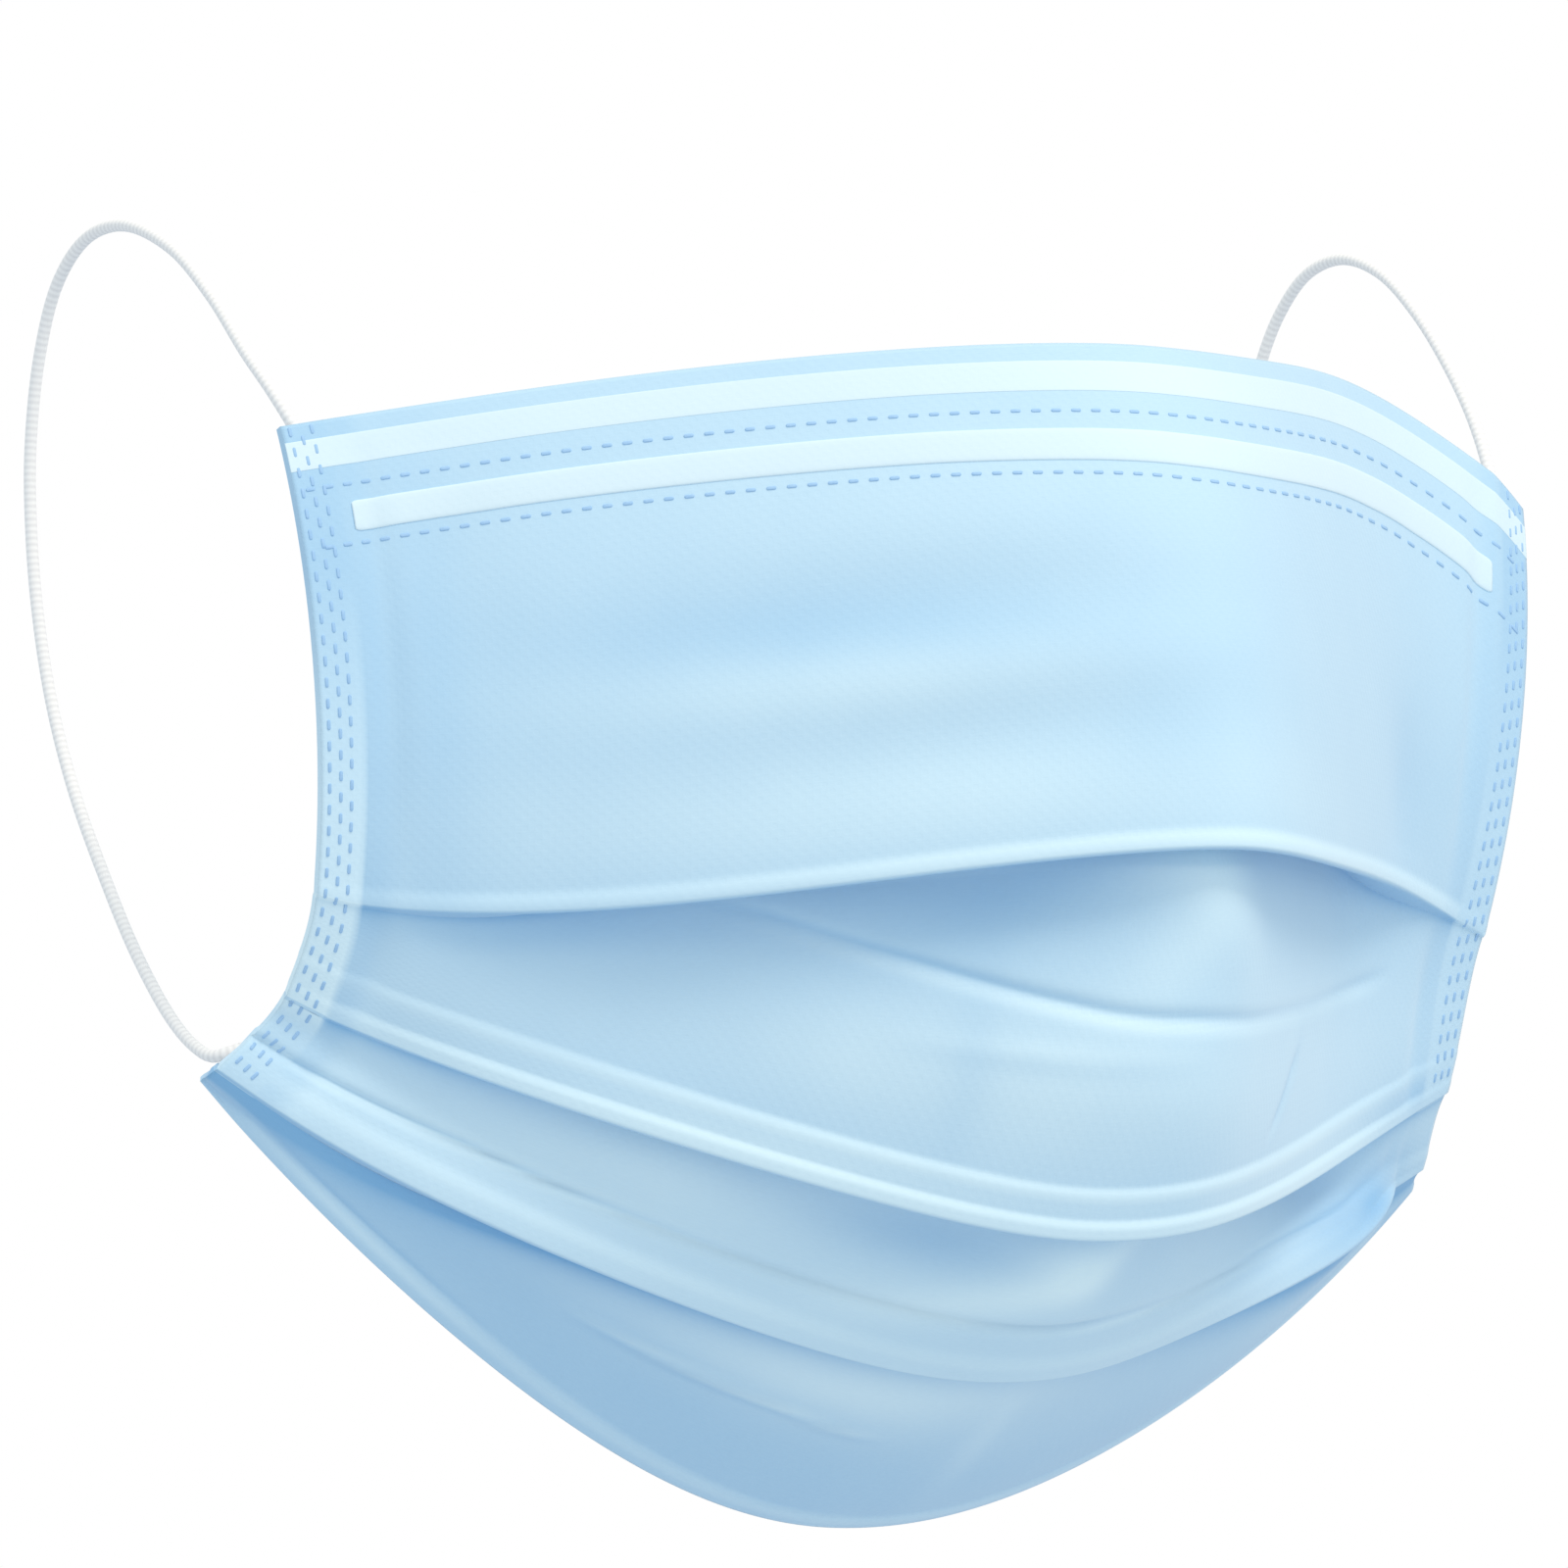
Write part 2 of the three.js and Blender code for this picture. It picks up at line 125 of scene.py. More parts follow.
def unit(vectors):
    """The same directions with a length of one."""
    return vectors / np.maximum(np.linalg.norm(vectors, axis=-1, keepdims=True), 1e-12)


def mesh_object(name, points, faces, materials, face_material=None, smooth=True):
    """A mesh piece from points in millimetres."""
    mesh = bpy.data.meshes.new(name)
    mesh.from_pydata((np.asarray(points) * MM).tolist(), [], [list(map(int, f)) for f in faces])
    for material in materials:
        mesh.materials.append(material)
    if face_material is not None:
        mesh.polygons.foreach_set("material_index", np.asarray(face_material, dtype=np.int32))
    mesh.polygons.foreach_set("use_smooth", np.full(len(mesh.polygons), smooth))
    mesh.update()
    piece = bpy.data.objects.new(name, mesh)
    bpy.context.scene.collection.objects.link(piece)
    return piece


def new_material(name, colour, roughness):
    """A material with its shader, ready for its pattern."""
    material = bpy.data.materials.new(name)
    material.use_nodes = True
    shader = material.node_tree.nodes["Principled BSDF"]
    shader.inputs["Base Color"].default_value = (*colour, 1.0)
    shader.inputs["Roughness"].default_value = roughness
    shader.inputs["Specular IOR Level"].default_value = 0.25
    return material, material.node_tree.nodes, material.node_tree.links, shader


def linear(red, green, blue):
    """A colour given as it looks on screen, from 0 to 255."""
    return tuple(
        c / 255 / 12.92 if c / 255 <= 0.04045 else ((c / 255 + 0.055) / 1.055) ** 2.4
        for c in (red, green, blue)
    )


def two_tone(nodes, links, shader, factor, first, second):
    """Colours a shader between two colours, by a factor."""
    tint = nodes.new("ShaderNodeMix")
    tint.data_type = "RGBA"
    tint.inputs["A"].default_value = (*first, 1.0)
    tint.inputs["B"].default_value = (*second, 1.0)
    links.new(factor, tint.inputs["Factor"])
    links.new(tint.outputs["Result"], shader.inputs["Base Color"])
    return tint


def fine_relief(nodes, links, shader, height, strength, depth):
    """Gives a shader relief too fine for its mesh, from a height."""
    bump = nodes.new("ShaderNodeBump")
    bump.inputs["Strength"].default_value = strength
    bump.inputs["Distance"].default_value = depth
    links.new(height, bump.inputs["Height"])
    links.new(bump.outputs["Normal"], shader.inputs["Normal"])


# Knitted elastic: fine ribs across the cord, a little darker between them, with loose fibre
elastic, nodes, links, shader = new_material("knitted_elastic", linear(240, 241, 242), 0.85)
shader.inputs["Sheen Weight"].default_value = 0.3
coordinates = nodes.new("ShaderNodeTexCoord")
knit = nodes.new("ShaderNodeTexWave")
knit.wave_type = "BANDS"
knit.bands_direction = "X"
knit.inputs["Scale"].default_value = 500.0
knit.inputs["Distortion"].default_value = 0.6
fibre = nodes.new("ShaderNodeTexNoise")
fibre.inputs["Scale"].default_value = 5200.0
fibre.inputs["Detail"].default_value = 3.0
links.new(coordinates.outputs["UV"], knit.inputs["Vector"])
links.new(coordinates.outputs["Object"], fibre.inputs["Vector"])
two_tone(nodes, links, shader, knit.outputs["Fac"], linear(234, 234, 234), linear(248, 248, 247))
relief = nodes.new("ShaderNodeMath")
relief.operation = "MULTIPLY_ADD"
relief.inputs[1].default_value = 0.5
links.new(fibre.outputs["Fac"], relief.inputs[0])
links.new(knit.outputs["Fac"], relief.inputs[2])
fine_relief(nodes, links, shader, relief.outputs["Value"], 0.15, 0.00002)


def ear_loop(name, rows, node):
    """A knitted cord along its route, whose ends are pressed flat where they are welded."""
    line, along = smooth_route(rows, CORD_STEPS)
    tangent = unit(np.gradient(line, axis=0))
    side = unit(np.cross(tangent, np.array([1.0, 0.0, 0.0])))
    lift = np.cross(side, tangent)
    ends = np.minimum(along, along[-1] - along)
    pressed = np.clip(1 - ends / PRESSED_LENGTH, 0, 1) ** 0.7
    rib = RIB_DEPTH * np.cos(2 * math.pi * along / RIB_PITCH)
    radius = CORD / 2 - RIB_DEPTH + rib
    wide = radius * (1 + PRESSED_WIDER * pressed)
    thin = radius * (1 - PRESSED_THINNER * pressed)
    angles = np.linspace(0, 2 * math.pi, CORD_SIDES, endpoint=False)
    rings = (
        line[:, None]
        + side[:, None] * (wide[:, None] * np.cos(angles))[..., None]
        + lift[:, None] * (thin[:, None] * np.sin(angles))[..., None]
    )
    points = np.vstack([rings.reshape(-1, 3), line[:1], line[-1:]])
    faces, spots = [], []
    last = CORD_STEPS - 1
    for i in range(last):
        for j in range(CORD_SIDES):
            k = (j + 1) % CORD_SIDES
            ring, following = i * CORD_SIDES, (i + 1) * CORD_SIDES
            faces.append((ring + j, following + j, following + k, ring + k))
            corners = ((i, j), (i + 1, j), (i + 1, j + 1), (i, j + 1))
            spots.append([(along[a] * MM, b / CORD_SIDES * CORD_ROUND * MM) for a, b in corners])
    for j in range(CORD_SIDES):
        k = (j + 1) % CORD_SIDES
        faces.append((len(points) - 2, j, k))
        faces.append((len(points) - 1, last * CORD_SIDES + k, last * CORD_SIDES + j))
        spots += [[(0.0, 0.0)] * 3, [(along[-1] * MM, 0.0)] * 3]
    piece = mesh_object(name, points, faces, [elastic])
    cut = piece.data.uv_layers.new(name="cut")
    flat = [value for spot in spots for place in spot for value in place]
    cut.data.foreach_set("uv", np.array(flat, dtype=np.float32))
    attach(piece, "root")
    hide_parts(node)


ear_loop("elastic_loop_left", LEFT_ROUTE, "ear_loop_left")
ear_loop("elastic_loop_right", RIGHT_ROUTE, "ear_loop_right")


# Pleated cloth
# One sheet of three-ply nonwoven, pale blue outside and white inside, with three pleats across
# it. The pleats are welded shut along both sides and open over the middle, which makes the bowl.
FLAT_WIDTH = 175.0
HALF_SPAN = 75.35  # half the width between the side edges
REACH = 50.5  # from the line of the upper corners forward to the first pleat
DROP = 101.6  # from that line down to the bottom edge
PLY = 0.5
SIDE_PLY = 0.95
SIDE_BAND = 4.6
SIDE_SOFT = 0.6
HEM_PLY = 0.95
HEM_BAND = 2.0
HEM_SOFT = 0.3
WELD_AT = 0.94  # where a side weld starts, as a share of the half width
WELD_TURN = 11.0  # degrees by which it stands back from straight sideways
GATHER = 0.7  # depth of the groove beside each side weld
GATHER_AT = 0.908  # where it runs, as a share of the half width
GATHER_HALF = 0.02  # its half width, as a share too
SHUT_AT_SIDE = 0.03  # share of the half width over which the pleats are shut
OPENING_OVER = 0.42  # share over which they come open
COLUMNS = 111  # columns from the middle to a side weld
COLUMN_CROWDING = 1.15
WELD_COLUMNS = 10
ROW_CROWDING = 0.5  # rows of a panel stand closer towards its upper and lower edges
RELIEF_FADE = 4  # how soon its relief begins there
FOLD_STEPS = 7
BACK_STEPS = 3

# Lines across the mask: half width, distance forward and distance down, each at the left side,
# the right side and the middle, with how blunt, how full and how far leaning the line is
LINES = [
    dict(half_left=1.006, half_right=0.992, out_left=0.015, out_right=0.016, out_mid=0.714,
         out_round=0.177, cheek_left=-0.059, cheek_right=-0.131, down_left=0.012, down_right=-0.01,
         down_mid=-0.083, down_round=1.2, sag_left=0.002, sag_right=-0.057, lean=-0.001, weld=1),
    dict(half_left=0.94, half_right=0.934, out_left=0.0, out_right=-0.001, out_mid=0.97,
         out_round=0.16, cheek_left=-0.038, cheek_right=-0.067, down_left=0.441, down_right=0.411,
         down_mid=0.392, down_round=0.544, sag_left=0.03, sag_right=-0.024, lean=0.057, weld=1),
    dict(half_left=0.935, half_right=0.93, out_left=-0.114, out_right=-0.111, out_mid=0.737,
         out_round=0.16, cheek_left=-0.049, cheek_right=-0.071, down_left=0.531, down_right=0.561,
         down_mid=0.751, down_round=0.171, sag_left=0.0, sag_right=0.024, lean=-0.098, weld=1),
    dict(half_left=1.008, half_right=0.95, out_left=-0.181, out_right=-0.225, out_mid=0.396,
         out_round=0.16, cheek_left=-0.049, cheek_right=0.113, down_left=0.597, down_right=0.633,
         down_mid=0.876, down_round=0.247, sag_left=0.007, sag_right=0.014, lean=-0.086, weld=1),
    dict(half_left=1.005, half_right=0.973, out_left=-0.242, out_right=-0.301, out_mid=-0.15,
         out_round=0.449, cheek_left=0.009, cheek_right=-0.009, down_left=0.606, down_right=0.65,
         down_mid=1.0, down_round=0.529, sag_left=0.009, sag_right=0.028, lean=-0.062, weld=0),
]

# Panels between those lines: how they curve at the top and at the bottom, in degrees, their rows
# of points and their gathers. Rims are steps out in the cloth above the panel's lower line: the
# distance of each above the line, its width and its height, in millimetres, and the strength of
# the painted highlight on the panel's rims.
PANELS = [
    dict(arch=14, arch_side=15.5, tuck=13, tuck_side=15.5, rows=60, gather=1.0,
         rims=[(1.0, 1.2, 0.32)], painted_highlight=0.28),
    dict(arch=0, arch_side=0, tuck=15, tuck_side=6, rows=115, gather=0.8,
         rims=[(1.2, 1.0, 0.36), (4.3, 1.0, 0.34)], painted_highlight=0.28),
    dict(arch=0, arch_side=0, tuck=12, tuck_side=6, rows=34, gather=0.4,
         rims=[(2.4, 1.4, 0.34)], painted_highlight=0.14),
    dict(arch=0, arch_side=0, tuck=16, tuck_side=4, rows=42, gather=0.0,
         rims=[(2.0, 0.9, 0.34)], painted_highlight=0.28),
]

# Pleats: radius of the fold on the middle of the cloth, how far the cloth runs back in, its fold
# and the start of the next panel in degrees, and the painted shadow line below it, with its width
# in millimetres and how much that grows on the right
PLEATS = [
    dict(bend=0.28, back=5.2, back_side=0.08, fold=116, fold_side=52, next=-8, next_side=4,
         shade=-0.45, painted_shadow_width=0.8, painted_shadow_growth=0.0),
    dict(bend=0.28, back=4.4, back_side=0.08, fold=112, fold_side=52, next=6, next_side=10,
         shade=-0.7, painted_shadow_width=0.9, painted_shadow_growth=0.0),
    dict(bend=0.224, back=2.2, back_side=0.08, fold=100, fold_side=50, next=12, next_side=16,
         shade=-1.8, painted_shadow_width=1.15, painted_shadow_growth=0.7),
]

# Soft dents and swells: panel, place across and down, half sizes, slant, height in millimetres
RELIEF = [
    (0, -0.30, 0.50, 0.30, 0.10, 0.05, -0.9),
    (0, -0.26, 0.76, 0.26, 0.10, -0.10, -0.8),
    (0, -0.34, 0.63, 0.26, 0.08, 0.00, 0.5),
    (0, -0.83, 0.40, 0.07, 0.30, 0.00, -0.8),
    (0, 0.73, 0.80, 0.09, 0.16, 0.30, -0.7),
    (1, -0.10, 0.62, 0.30, 0.16, 0.25, 0.7),
    (1, 0.02, 0.14, 0.15, 0.18, 0.60, 1.4),
    (1, -0.30, 0.12, 0.16, 0.10, 0.30, -0.7),
    (1, -0.56, 0.18, 0.12, 0.10, 0.00, -0.5),
    (1, -0.62, 0.50, 0.14, 0.30, 0.00, -0.6),
    (2, -0.28, 0.26, 0.12, 0.16, 0.00, -0.8),
    (2, -0.06, 0.34, 0.07, 0.24, 0.60, 0.9),
    (2, 0.10, 0.26, 0.08, 0.24, 0.40, -0.6),
    (2, -0.55, 0.25, 0.12, 0.20, 0.00, 0.7),
    (2, 0.84, 0.72, 0.09, 0.34, 0.00, -1.3),
    (3, -0.30, 0.55, 0.30, 0.25, 0.20, -0.8),
    (3, 0.74, 0.38, 0.15, 0.36, 0.00, -1.8),
]

# Creases: the panel, its half width, its height in millimetres, which is negative for a groove,
# and the places it runs through: across, distance above the panel's lower line, share of height
CREASES = [
    (1, 0.9, -0.62, [
        (-0.62, 21.6, 0.0), (-0.52, 22.0, 0.8), (-0.36, 21.9, 1.0), (-0.19, 21.4, 1.0),
        (-0.03, 20.4, 0.8), (0.16, 19.0, 0.5), (0.50, 17.5, 0.3), (0.74, 16.4, 0.5),
        (0.82, 16.3, 0.0),
    ]),
    (1, 1.3, 0.18, [(-0.40, 14.6, 0.0), (-0.22, 16.4, 1.0), (-0.10, 17.0, 0.6), (0.05, 16.4, 0.0)]),
    (1, 0.9, -0.32, [(0.28, 6.5, 0.0), (0.33, 8.5, 1.0), (0.40, 12.5, 1.0), (0.43, 14.2, 0.0)]),
    (2, 0.5, -0.60, [
        (-1.0, 4.0, 1.0), (-0.93, 4.2, 1.0), (-0.73, 5.4, 1.0), (-0.55, 5.6, 1.0),
        (-0.37, 6.1, 1.0), (-0.18, 6.7, 1.0), (-0.04, 6.7, 0.8), (0.13, 6.1, 0.8),
        (0.39, 4.2, 0.7), (0.69, 3.4, 0.7), (0.90, 2.2, 0.0),
    ]),
    (3, 0.8, -0.45, [
        (-1.0, 0.5, 0.6), (-0.93, 1.5, 1.0), (-0.83, 1.9, 1.0), (-0.70, 2.2, 0.6),
        (-0.58, 2.3, 0.0),
    ]),
    (3, 0.7, 0.50, [
        (-0.55, 9.2, 0.0), (-0.47, 10.8, 1.0), (-0.39, 12.0, 1.0), (-0.27, 13.9, 1.0),
        (-0.17, 14.6, 0.8), (-0.10, 14.9, 0.0),
    ]),
]

# Painted light and shade of the cloth, painted shade where the amount is negative and painted
# light where it isn't: panel, place across and down, half sizes, slant and amount
PAINTED_LIGHT_AND_SHADE = [
    (0, -0.86, 0.55, 0.05, 0.60, 0.00, -0.16),
    (0, -0.45, 0.53, 0.26, 0.09, 0.08, -0.24),
    (0, 0.74, 0.80, 0.09, 0.16, 0.30, -0.12),
    (0, -0.42, 0.64, 0.26, 0.07, 0.08, 0.28),
    (0, -0.30, 0.87, 0.50, 0.12, 0.05, 0.28),
    (0, -0.30, 0.30, 0.36, 0.20, 0.05, 0.12),
    (0, -0.10, 0.82, 0.12, 0.14, 0.00, -0.12),
    (1, -0.40, 0.62, 0.10, 0.16, 0.40, 0.16),
    (1, -0.20, 0.68, 0.07, 0.18, 0.00, 0.12),
    (1, -0.285, 0.62, 0.025, 0.22, 0.80, -0.10),
    (1, 0.00, 0.58, 3.00, 0.30, 0.00, 0.12),
    (1, -0.02, 0.05, 0.13, 0.08, 0.00, 0.44),
    (1, 0.92, 0.92, 0.12, 0.10, 0.00, -0.25),
    (1, 0.365, 0.69, 0.06, 0.05, -1.73, -0.22),
    (1, -0.44, 0.93, 0.20, 0.07, 0.00, 0.16),
    (1, -0.10, 0.66, 0.30, 0.18, 0.20, 0.14),
    (1, 0.02, 0.12, 0.14, 0.18, 0.60, 0.24),
    (1, -0.72, 0.14, 0.16, 0.10, 0.00, -0.18),
    (1, -0.27, 0.15, 0.14, 0.14, -0.80, -0.22),
    (1, -0.05, 0.30, 0.11, 0.12, -1.00, 0.16),
    (2, 0.00, 0.50, 3.00, 3.00, 0.00, 0.18),
    (2, -0.60, 0.42, 0.24, 0.26, 0.00, 0.22),
    (2, 0.70, 0.82, 0.18, 0.30, 0.20, -0.40),
    (2, 0.46, 0.80, 0.10, 0.14, 0.00, -0.12),
    (2, 0.40, 0.85, 0.14, 0.16, 0.00, -0.06),
    (2, -0.09, 0.26, 0.06, 0.10, 0.00, 0.22),
    (2, -0.60, 0.15, 0.16, 0.20, 0.00, 0.16),
    (2, -0.26, 0.27, 0.12, 0.16, 0.00, -0.30),
    (2, -0.06, 0.34, 0.06, 0.22, 0.60, 0.14),
    (2, -0.12, 0.46, 0.18, 0.14, -1.30, 0.38),
    (2, 0.97, 0.60, 0.05, 0.60, 0.00, 0.10),
    (2, 0.85, 0.84, 0.07, 0.24, 0.00, -0.26),
    (2, 0.84, 0.75, 0.20, 0.45, 0.00, -0.36),
    (3, -0.60, 0.12, 0.30, 0.16, 0.00, 0.16),
    (3, 0.00, 0.50, 3.00, 3.00, 0.00, -0.20),
    (3, 0.04, 0.50, 0.03, 0.24, -0.30, 0.14),
    (3, 0.16, 0.40, 0.40, 0.26, 0.00, 0.18),
    (3, -0.10, 0.24, 0.40, 0.12, 0.00, 0.12),
    (3, -0.22, 0.26, 0.24, 0.20, 0.00, 0.44),
    (3, 0.58, 0.25, 0.16, 0.22, 0.00, 0.14),
]
# Painted shade and light on each crease, as from a lamp above: ridges darker below, paler above
CREASE_PAINTED_SHADE = 0.4
CREASE_PAINTED_BELOW = dict(at=-0.9, spread=0.6)
CREASE_PAINTED_ABOVE = dict(at=0.4, spread=0.4)
# Painted shade inside the fold of each pleat
FOLD_PAINTED_SHADE = -0.4
DEEPEST = -0.18  # bounds at which the painted tone of light and shade stops
PALEST = 1.15
RIM_SIDE_SHARE = 0.25  # share of the rims' height that is left at the side edges
RIM_FADE = 0.25  # over which share of the half width it is lost
# Least share of a rim's painted highlight that is kept where it fades
RIM_FAINTEST = 0.4

# Painted light and shade on the side bands: panels down from the top edge, then left and right
BAND_PAINTED_LIGHT_AND_SHADE = [
    (0.3, -0.24, -0.24), (0.8, 0.26, 0.05), (1.4, 0.52, 0.12), (2.0, 0.55, 0.12),
    (2.25, 0.12, 0.12),
]
BAND_SOFT = 0.3
# A painted shadow beside the inner edge of each side band, weaker on the right
BESIDE_BAND = 7.3
BESIDE_BAND_SOFT = 1.5
BESIDE_BAND_PAINTED_SHADOW = -0.18
BESIDE_BAND_RIGHT = 0.6
WELD_END_LEFT = 3.02  # how many panels down the side welds reach
WELD_END_RIGHT = 2.02


def mix(a, b, share):
    """A value on the way from a to b."""
    return a + (b - a) * share


def smooth_step(t):
    """Rises softly from 0 to 1 as t does."""
    t = np.clip(t, 0.0, 1.0)
    return t * t * (3 - 2 * t)


def blunt(share, roundness):
    """Falls from 1 in the middle to 0 at the side, with a rounder top where roundness is more."""
    whole = math.sqrt(1 + roundness**2) - roundness
    return 1 - (np.sqrt(share**2 + roundness**2) - roundness) / whole


def within(edge, distance, soft):
    """1 within an edge and 0 beyond it, with a soft change there."""
    return smooth_step((edge + soft - distance) / (2 * soft))


def openness(u):
    """1 where the pleats hang open over the middle, 0 where the side weld holds them."""
    return smooth_step((1 - np.abs(u) - SHUT_AT_SIDE) / OPENING_OVER)


def line_point(line, u):
    """Points of a line across the mask, at the places u from -1 at the left edge to 1."""
    leaned = u - line["lean"] * (1 - u * u)
    b = leaned * leaned
    half = np.where(u > 0, line["half_right"], line["half_left"])
    weld_at = WELD_AT if line["weld"] else 1.0
    v = np.minimum(1.0, np.abs(u) / weld_at)
    w = v * v
    band_out = np.where(u > 0, line["out_right"], line["out_left"])
    per_share = HALF_SPAN * half * math.tan(math.radians(WELD_TURN)) / REACH
    band_out = band_out + (1 - np.maximum(np.abs(u), weld_at)) * per_share
    cheek = np.where(u > 0, line["cheek_right"], line["cheek_left"])
    out = mix(band_out, line["out_mid"], blunt(v, line["out_round"])) + cheek * 4 * w * (1 - w)
    down_end = np.where(leaned > 0, line["down_right"], line["down_left"])
    sag = np.where(leaned > 0, line["sag_right"], line["sag_left"])
    down = mix(down_end, line["down_mid"], blunt(leaned, line["down_round"])) + sag * 4 * b * (1 - b)
    return np.stack([HALF_SPAN * half * u, -REACH * out, -DROP * down], axis=1)


def line_direction(line, u, step=0.004):
    """The direction to the right along a line."""
    return unit(line_point(line, u + step) - line_point(line, u - step))


def patches_at(table, k, u, s):
    """Sum of the soft patches of a table on panel k, at the places u across and s down."""
    total = np.zeros_like(u)
    for panel, across, down, half_across, half_down, slant, amount in table:
        if panel == k:
            x = (u - across) / half_across
            y = (s - down - slant * (u - across)) / half_down
            total += amount * np.exp(-x * x - y * y)
    return total


def creases_at(k, u, above):
    """For each crease of panel k, how far above it a place is in half widths, and its height."""
    found = []
    for panel, half, rise_by, route in CREASES:
        if panel == k:
            on, line, share = np.array(route).T
            found.append(((above - np.interp(u, on, line)) / half, rise_by * np.interp(u, on, share)))
    return found


def relief_at(k, u, s, above):
    """Height of the dents, swells and creases of panel k, and of the gathers beside the welds."""
    height = patches_at(RELIEF, k, u, s)
    for away, rise_by in creases_at(k, u, above):
        height += rise_by * np.exp(-away * away)
    beside = (np.abs(u) - GATHER_AT) / GATHER_HALF
    groove = GATHER * PANELS[k]["gather"] * np.exp(-beside * beside) * math.sin(math.pi * s)
    return height - groove


def rim_painted_highlight(k, at, width, u, above):
    """Painted highlight of a rim of panel k: high ones fade below and at the sides, the top to the left.
    """
    lit = smooth_step((at + 0.8 * width - above) / width)
    if at >= 2:
        lit = lit * mix(RIM_FAINTEST, 1, smooth_step((above - at + 1.4) / 0.8))
    if at > 3:
        lit = lit * mix(0.35, 1, smooth_step((1 - np.abs(u)) / 0.5))
    if k == 0:
        lit = lit * mix(RIM_FAINTEST, 1, smooth_step((u + 0.75) / 0.5))
    return PANELS[k]["painted_highlight"] * lit


def painted_shade_at(k, u, s, above, length):
    """Painted light and shade of panel k: its patches, its creases and the shadow line below the lip."""
    shade = patches_at(PAINTED_LIGHT_AND_SHADE, k, u, s)
    # A painted shadow line at the top of the panel, below the lip of the pleat above
    if k:
        pleat = PLEATS[k - 1]
        width = pleat["painted_shadow_width"] * (1 + pleat["painted_shadow_growth"] * smooth_step(u / 0.3))
        shade = shade + pleat["shade"] * np.exp(-s * length / width)
    for away, rise_by in creases_at(k, u, above):
        for sign, side in ((-1, CREASE_PAINTED_BELOW), (1, CREASE_PAINTED_ABOVE)):
            nearness = np.exp(-((away - side["at"]) ** 2) / side["spread"])
            shade = shade + sign * CREASE_PAINTED_SHADE * rise_by * nearness
    return shade


def panel_rows(k, u, start, heading_in):
    """Rows of points down panel k from start, then its end, its last direction and its normal."""
    panel, line = PANELS[k], LINES[k + 1]
    rim_share = mix(RIM_SIDE_SHARE, 1, smooth_step((1 - np.abs(u)) / RIM_FADE))
    rims = sum(height for _, _, height in panel["rims"]) * rim_share
    end = line_point(line, u)
    across = line_direction(line, u)
    straight = unit(end - start)
    end = end - unit(np.cross(straight, across)) * (PLY / 2 + rims)[:, None]
    if k < len(PLEATS):
        fold = np.radians(mix(PLEATS[k]["fold_side"], PLEATS[k]["fold"], openness(u)))
        tip = (PLEATS[k]["bend"] + PLY / 2) * np.sin(np.minimum(fold, math.pi / 2))
        end = end - straight * tip[:, None]
    chord = end - start
    length = np.linalg.norm(chord, axis=1)
    chord = chord / length[:, None]
    outward = unit(np.cross(chord, np.array([1.0, 0.0, 0.0])))
    arch = np.radians(mix(panel["arch"], panel["arch_side"], u * u))[:, None]
    tuck = np.radians(mix(panel["tuck"], panel["tuck_side"], u * u))[:, None]
    first = heading_in if heading_in is not None else chord * np.cos(arch) + outward * np.sin(arch)
    last = chord * np.cos(tuck) - outward * np.sin(tuck)
    normal = unit(np.cross(last, across))
    handle = length[:, None] / 3
    knots = (start, start + first * handle, end - last * handle, end)
    steps = np.linspace(0, 1, panel["rows"] + 1)
    steps = steps - ROW_CROWDING * np.sin(2 * math.pi * steps) / (2 * math.pi)
    rows = []
    for s in steps[0 if k == 0 else 1:]:
        p = (
            (1 - s) ** 3 * knots[0] + 3 * s * (1 - s) ** 2 * knots[1]
            + 3 * s * s * (1 - s) * knots[2] + s**3 * knots[3]
        )
        above = (1 - s) * length
        height = relief_at(k, u, s, above) * min(1.0, RELIEF_FADE * math.sin(math.pi * s))
        shade = painted_shade_at(k, u, s, above, length)
        for at, width, rim in panel["rims"]:
            height = height + rim * rim_share * within(at, above, width / 2)
            shade = shade + rim_painted_highlight(k, at, width, u, above)
        rows.append(dict(p=p + normal * height[:, None], down=k + s, shade=shade))
    return rows, end + normal * rims[:, None], last, normal


def pleat_rows(k, u, at, last, normal, shade):
    """Rows of points round the fold below panel k, back in under it and down again."""
    pleat = PLEATS[k]
    opened = openness(u)
    fold = np.radians(mix(pleat["fold_side"], pleat["fold"], opened))
    turned = np.radians(mix(pleat["next_side"], pleat["next"], opened))
    back = mix(pleat["back_side"], pleat["back"], opened)
    painted_shade_in_fold = np.full_like(u, FOLD_PAINTED_SHADE)
    rows = []

    def go(angle, distance, its_shade):
        nonlocal at
        direction = last * np.cos(angle)[:, None] - normal * np.sin(angle)[:, None]
        at = at + direction * distance[:, None]
        rows.append(dict(p=at, down=k + 1.5, shade=its_shade))

    def bend(begin, finish, shades):
        for j in range(FOLD_STEPS):
            a = mix(begin, finish, j / FOLD_STEPS)
            b = mix(begin, finish, (j + 1) / FOLD_STEPS)
            go((a + b) / 2, 2 * pleat["bend"] * np.sin(np.abs(b - a) / 2), shades[j])

    # The last row's painted shade runs into the painted shade inside the fold
    fading = [mix(shade, FOLD_PAINTED_SHADE, min(1.0, 2 * j / FOLD_STEPS)) for j in range(FOLD_STEPS)]
    bend(np.zeros_like(fold), fold, fading)
    for _ in range(BACK_STEPS):
        go(fold, back / BACK_STEPS, painted_shade_in_fold)
    bend(fold, turned, [painted_shade_in_fold] * FOLD_STEPS)
    return rows, at, last * np.cos(turned)[:, None] - normal * np.sin(turned)[:, None]


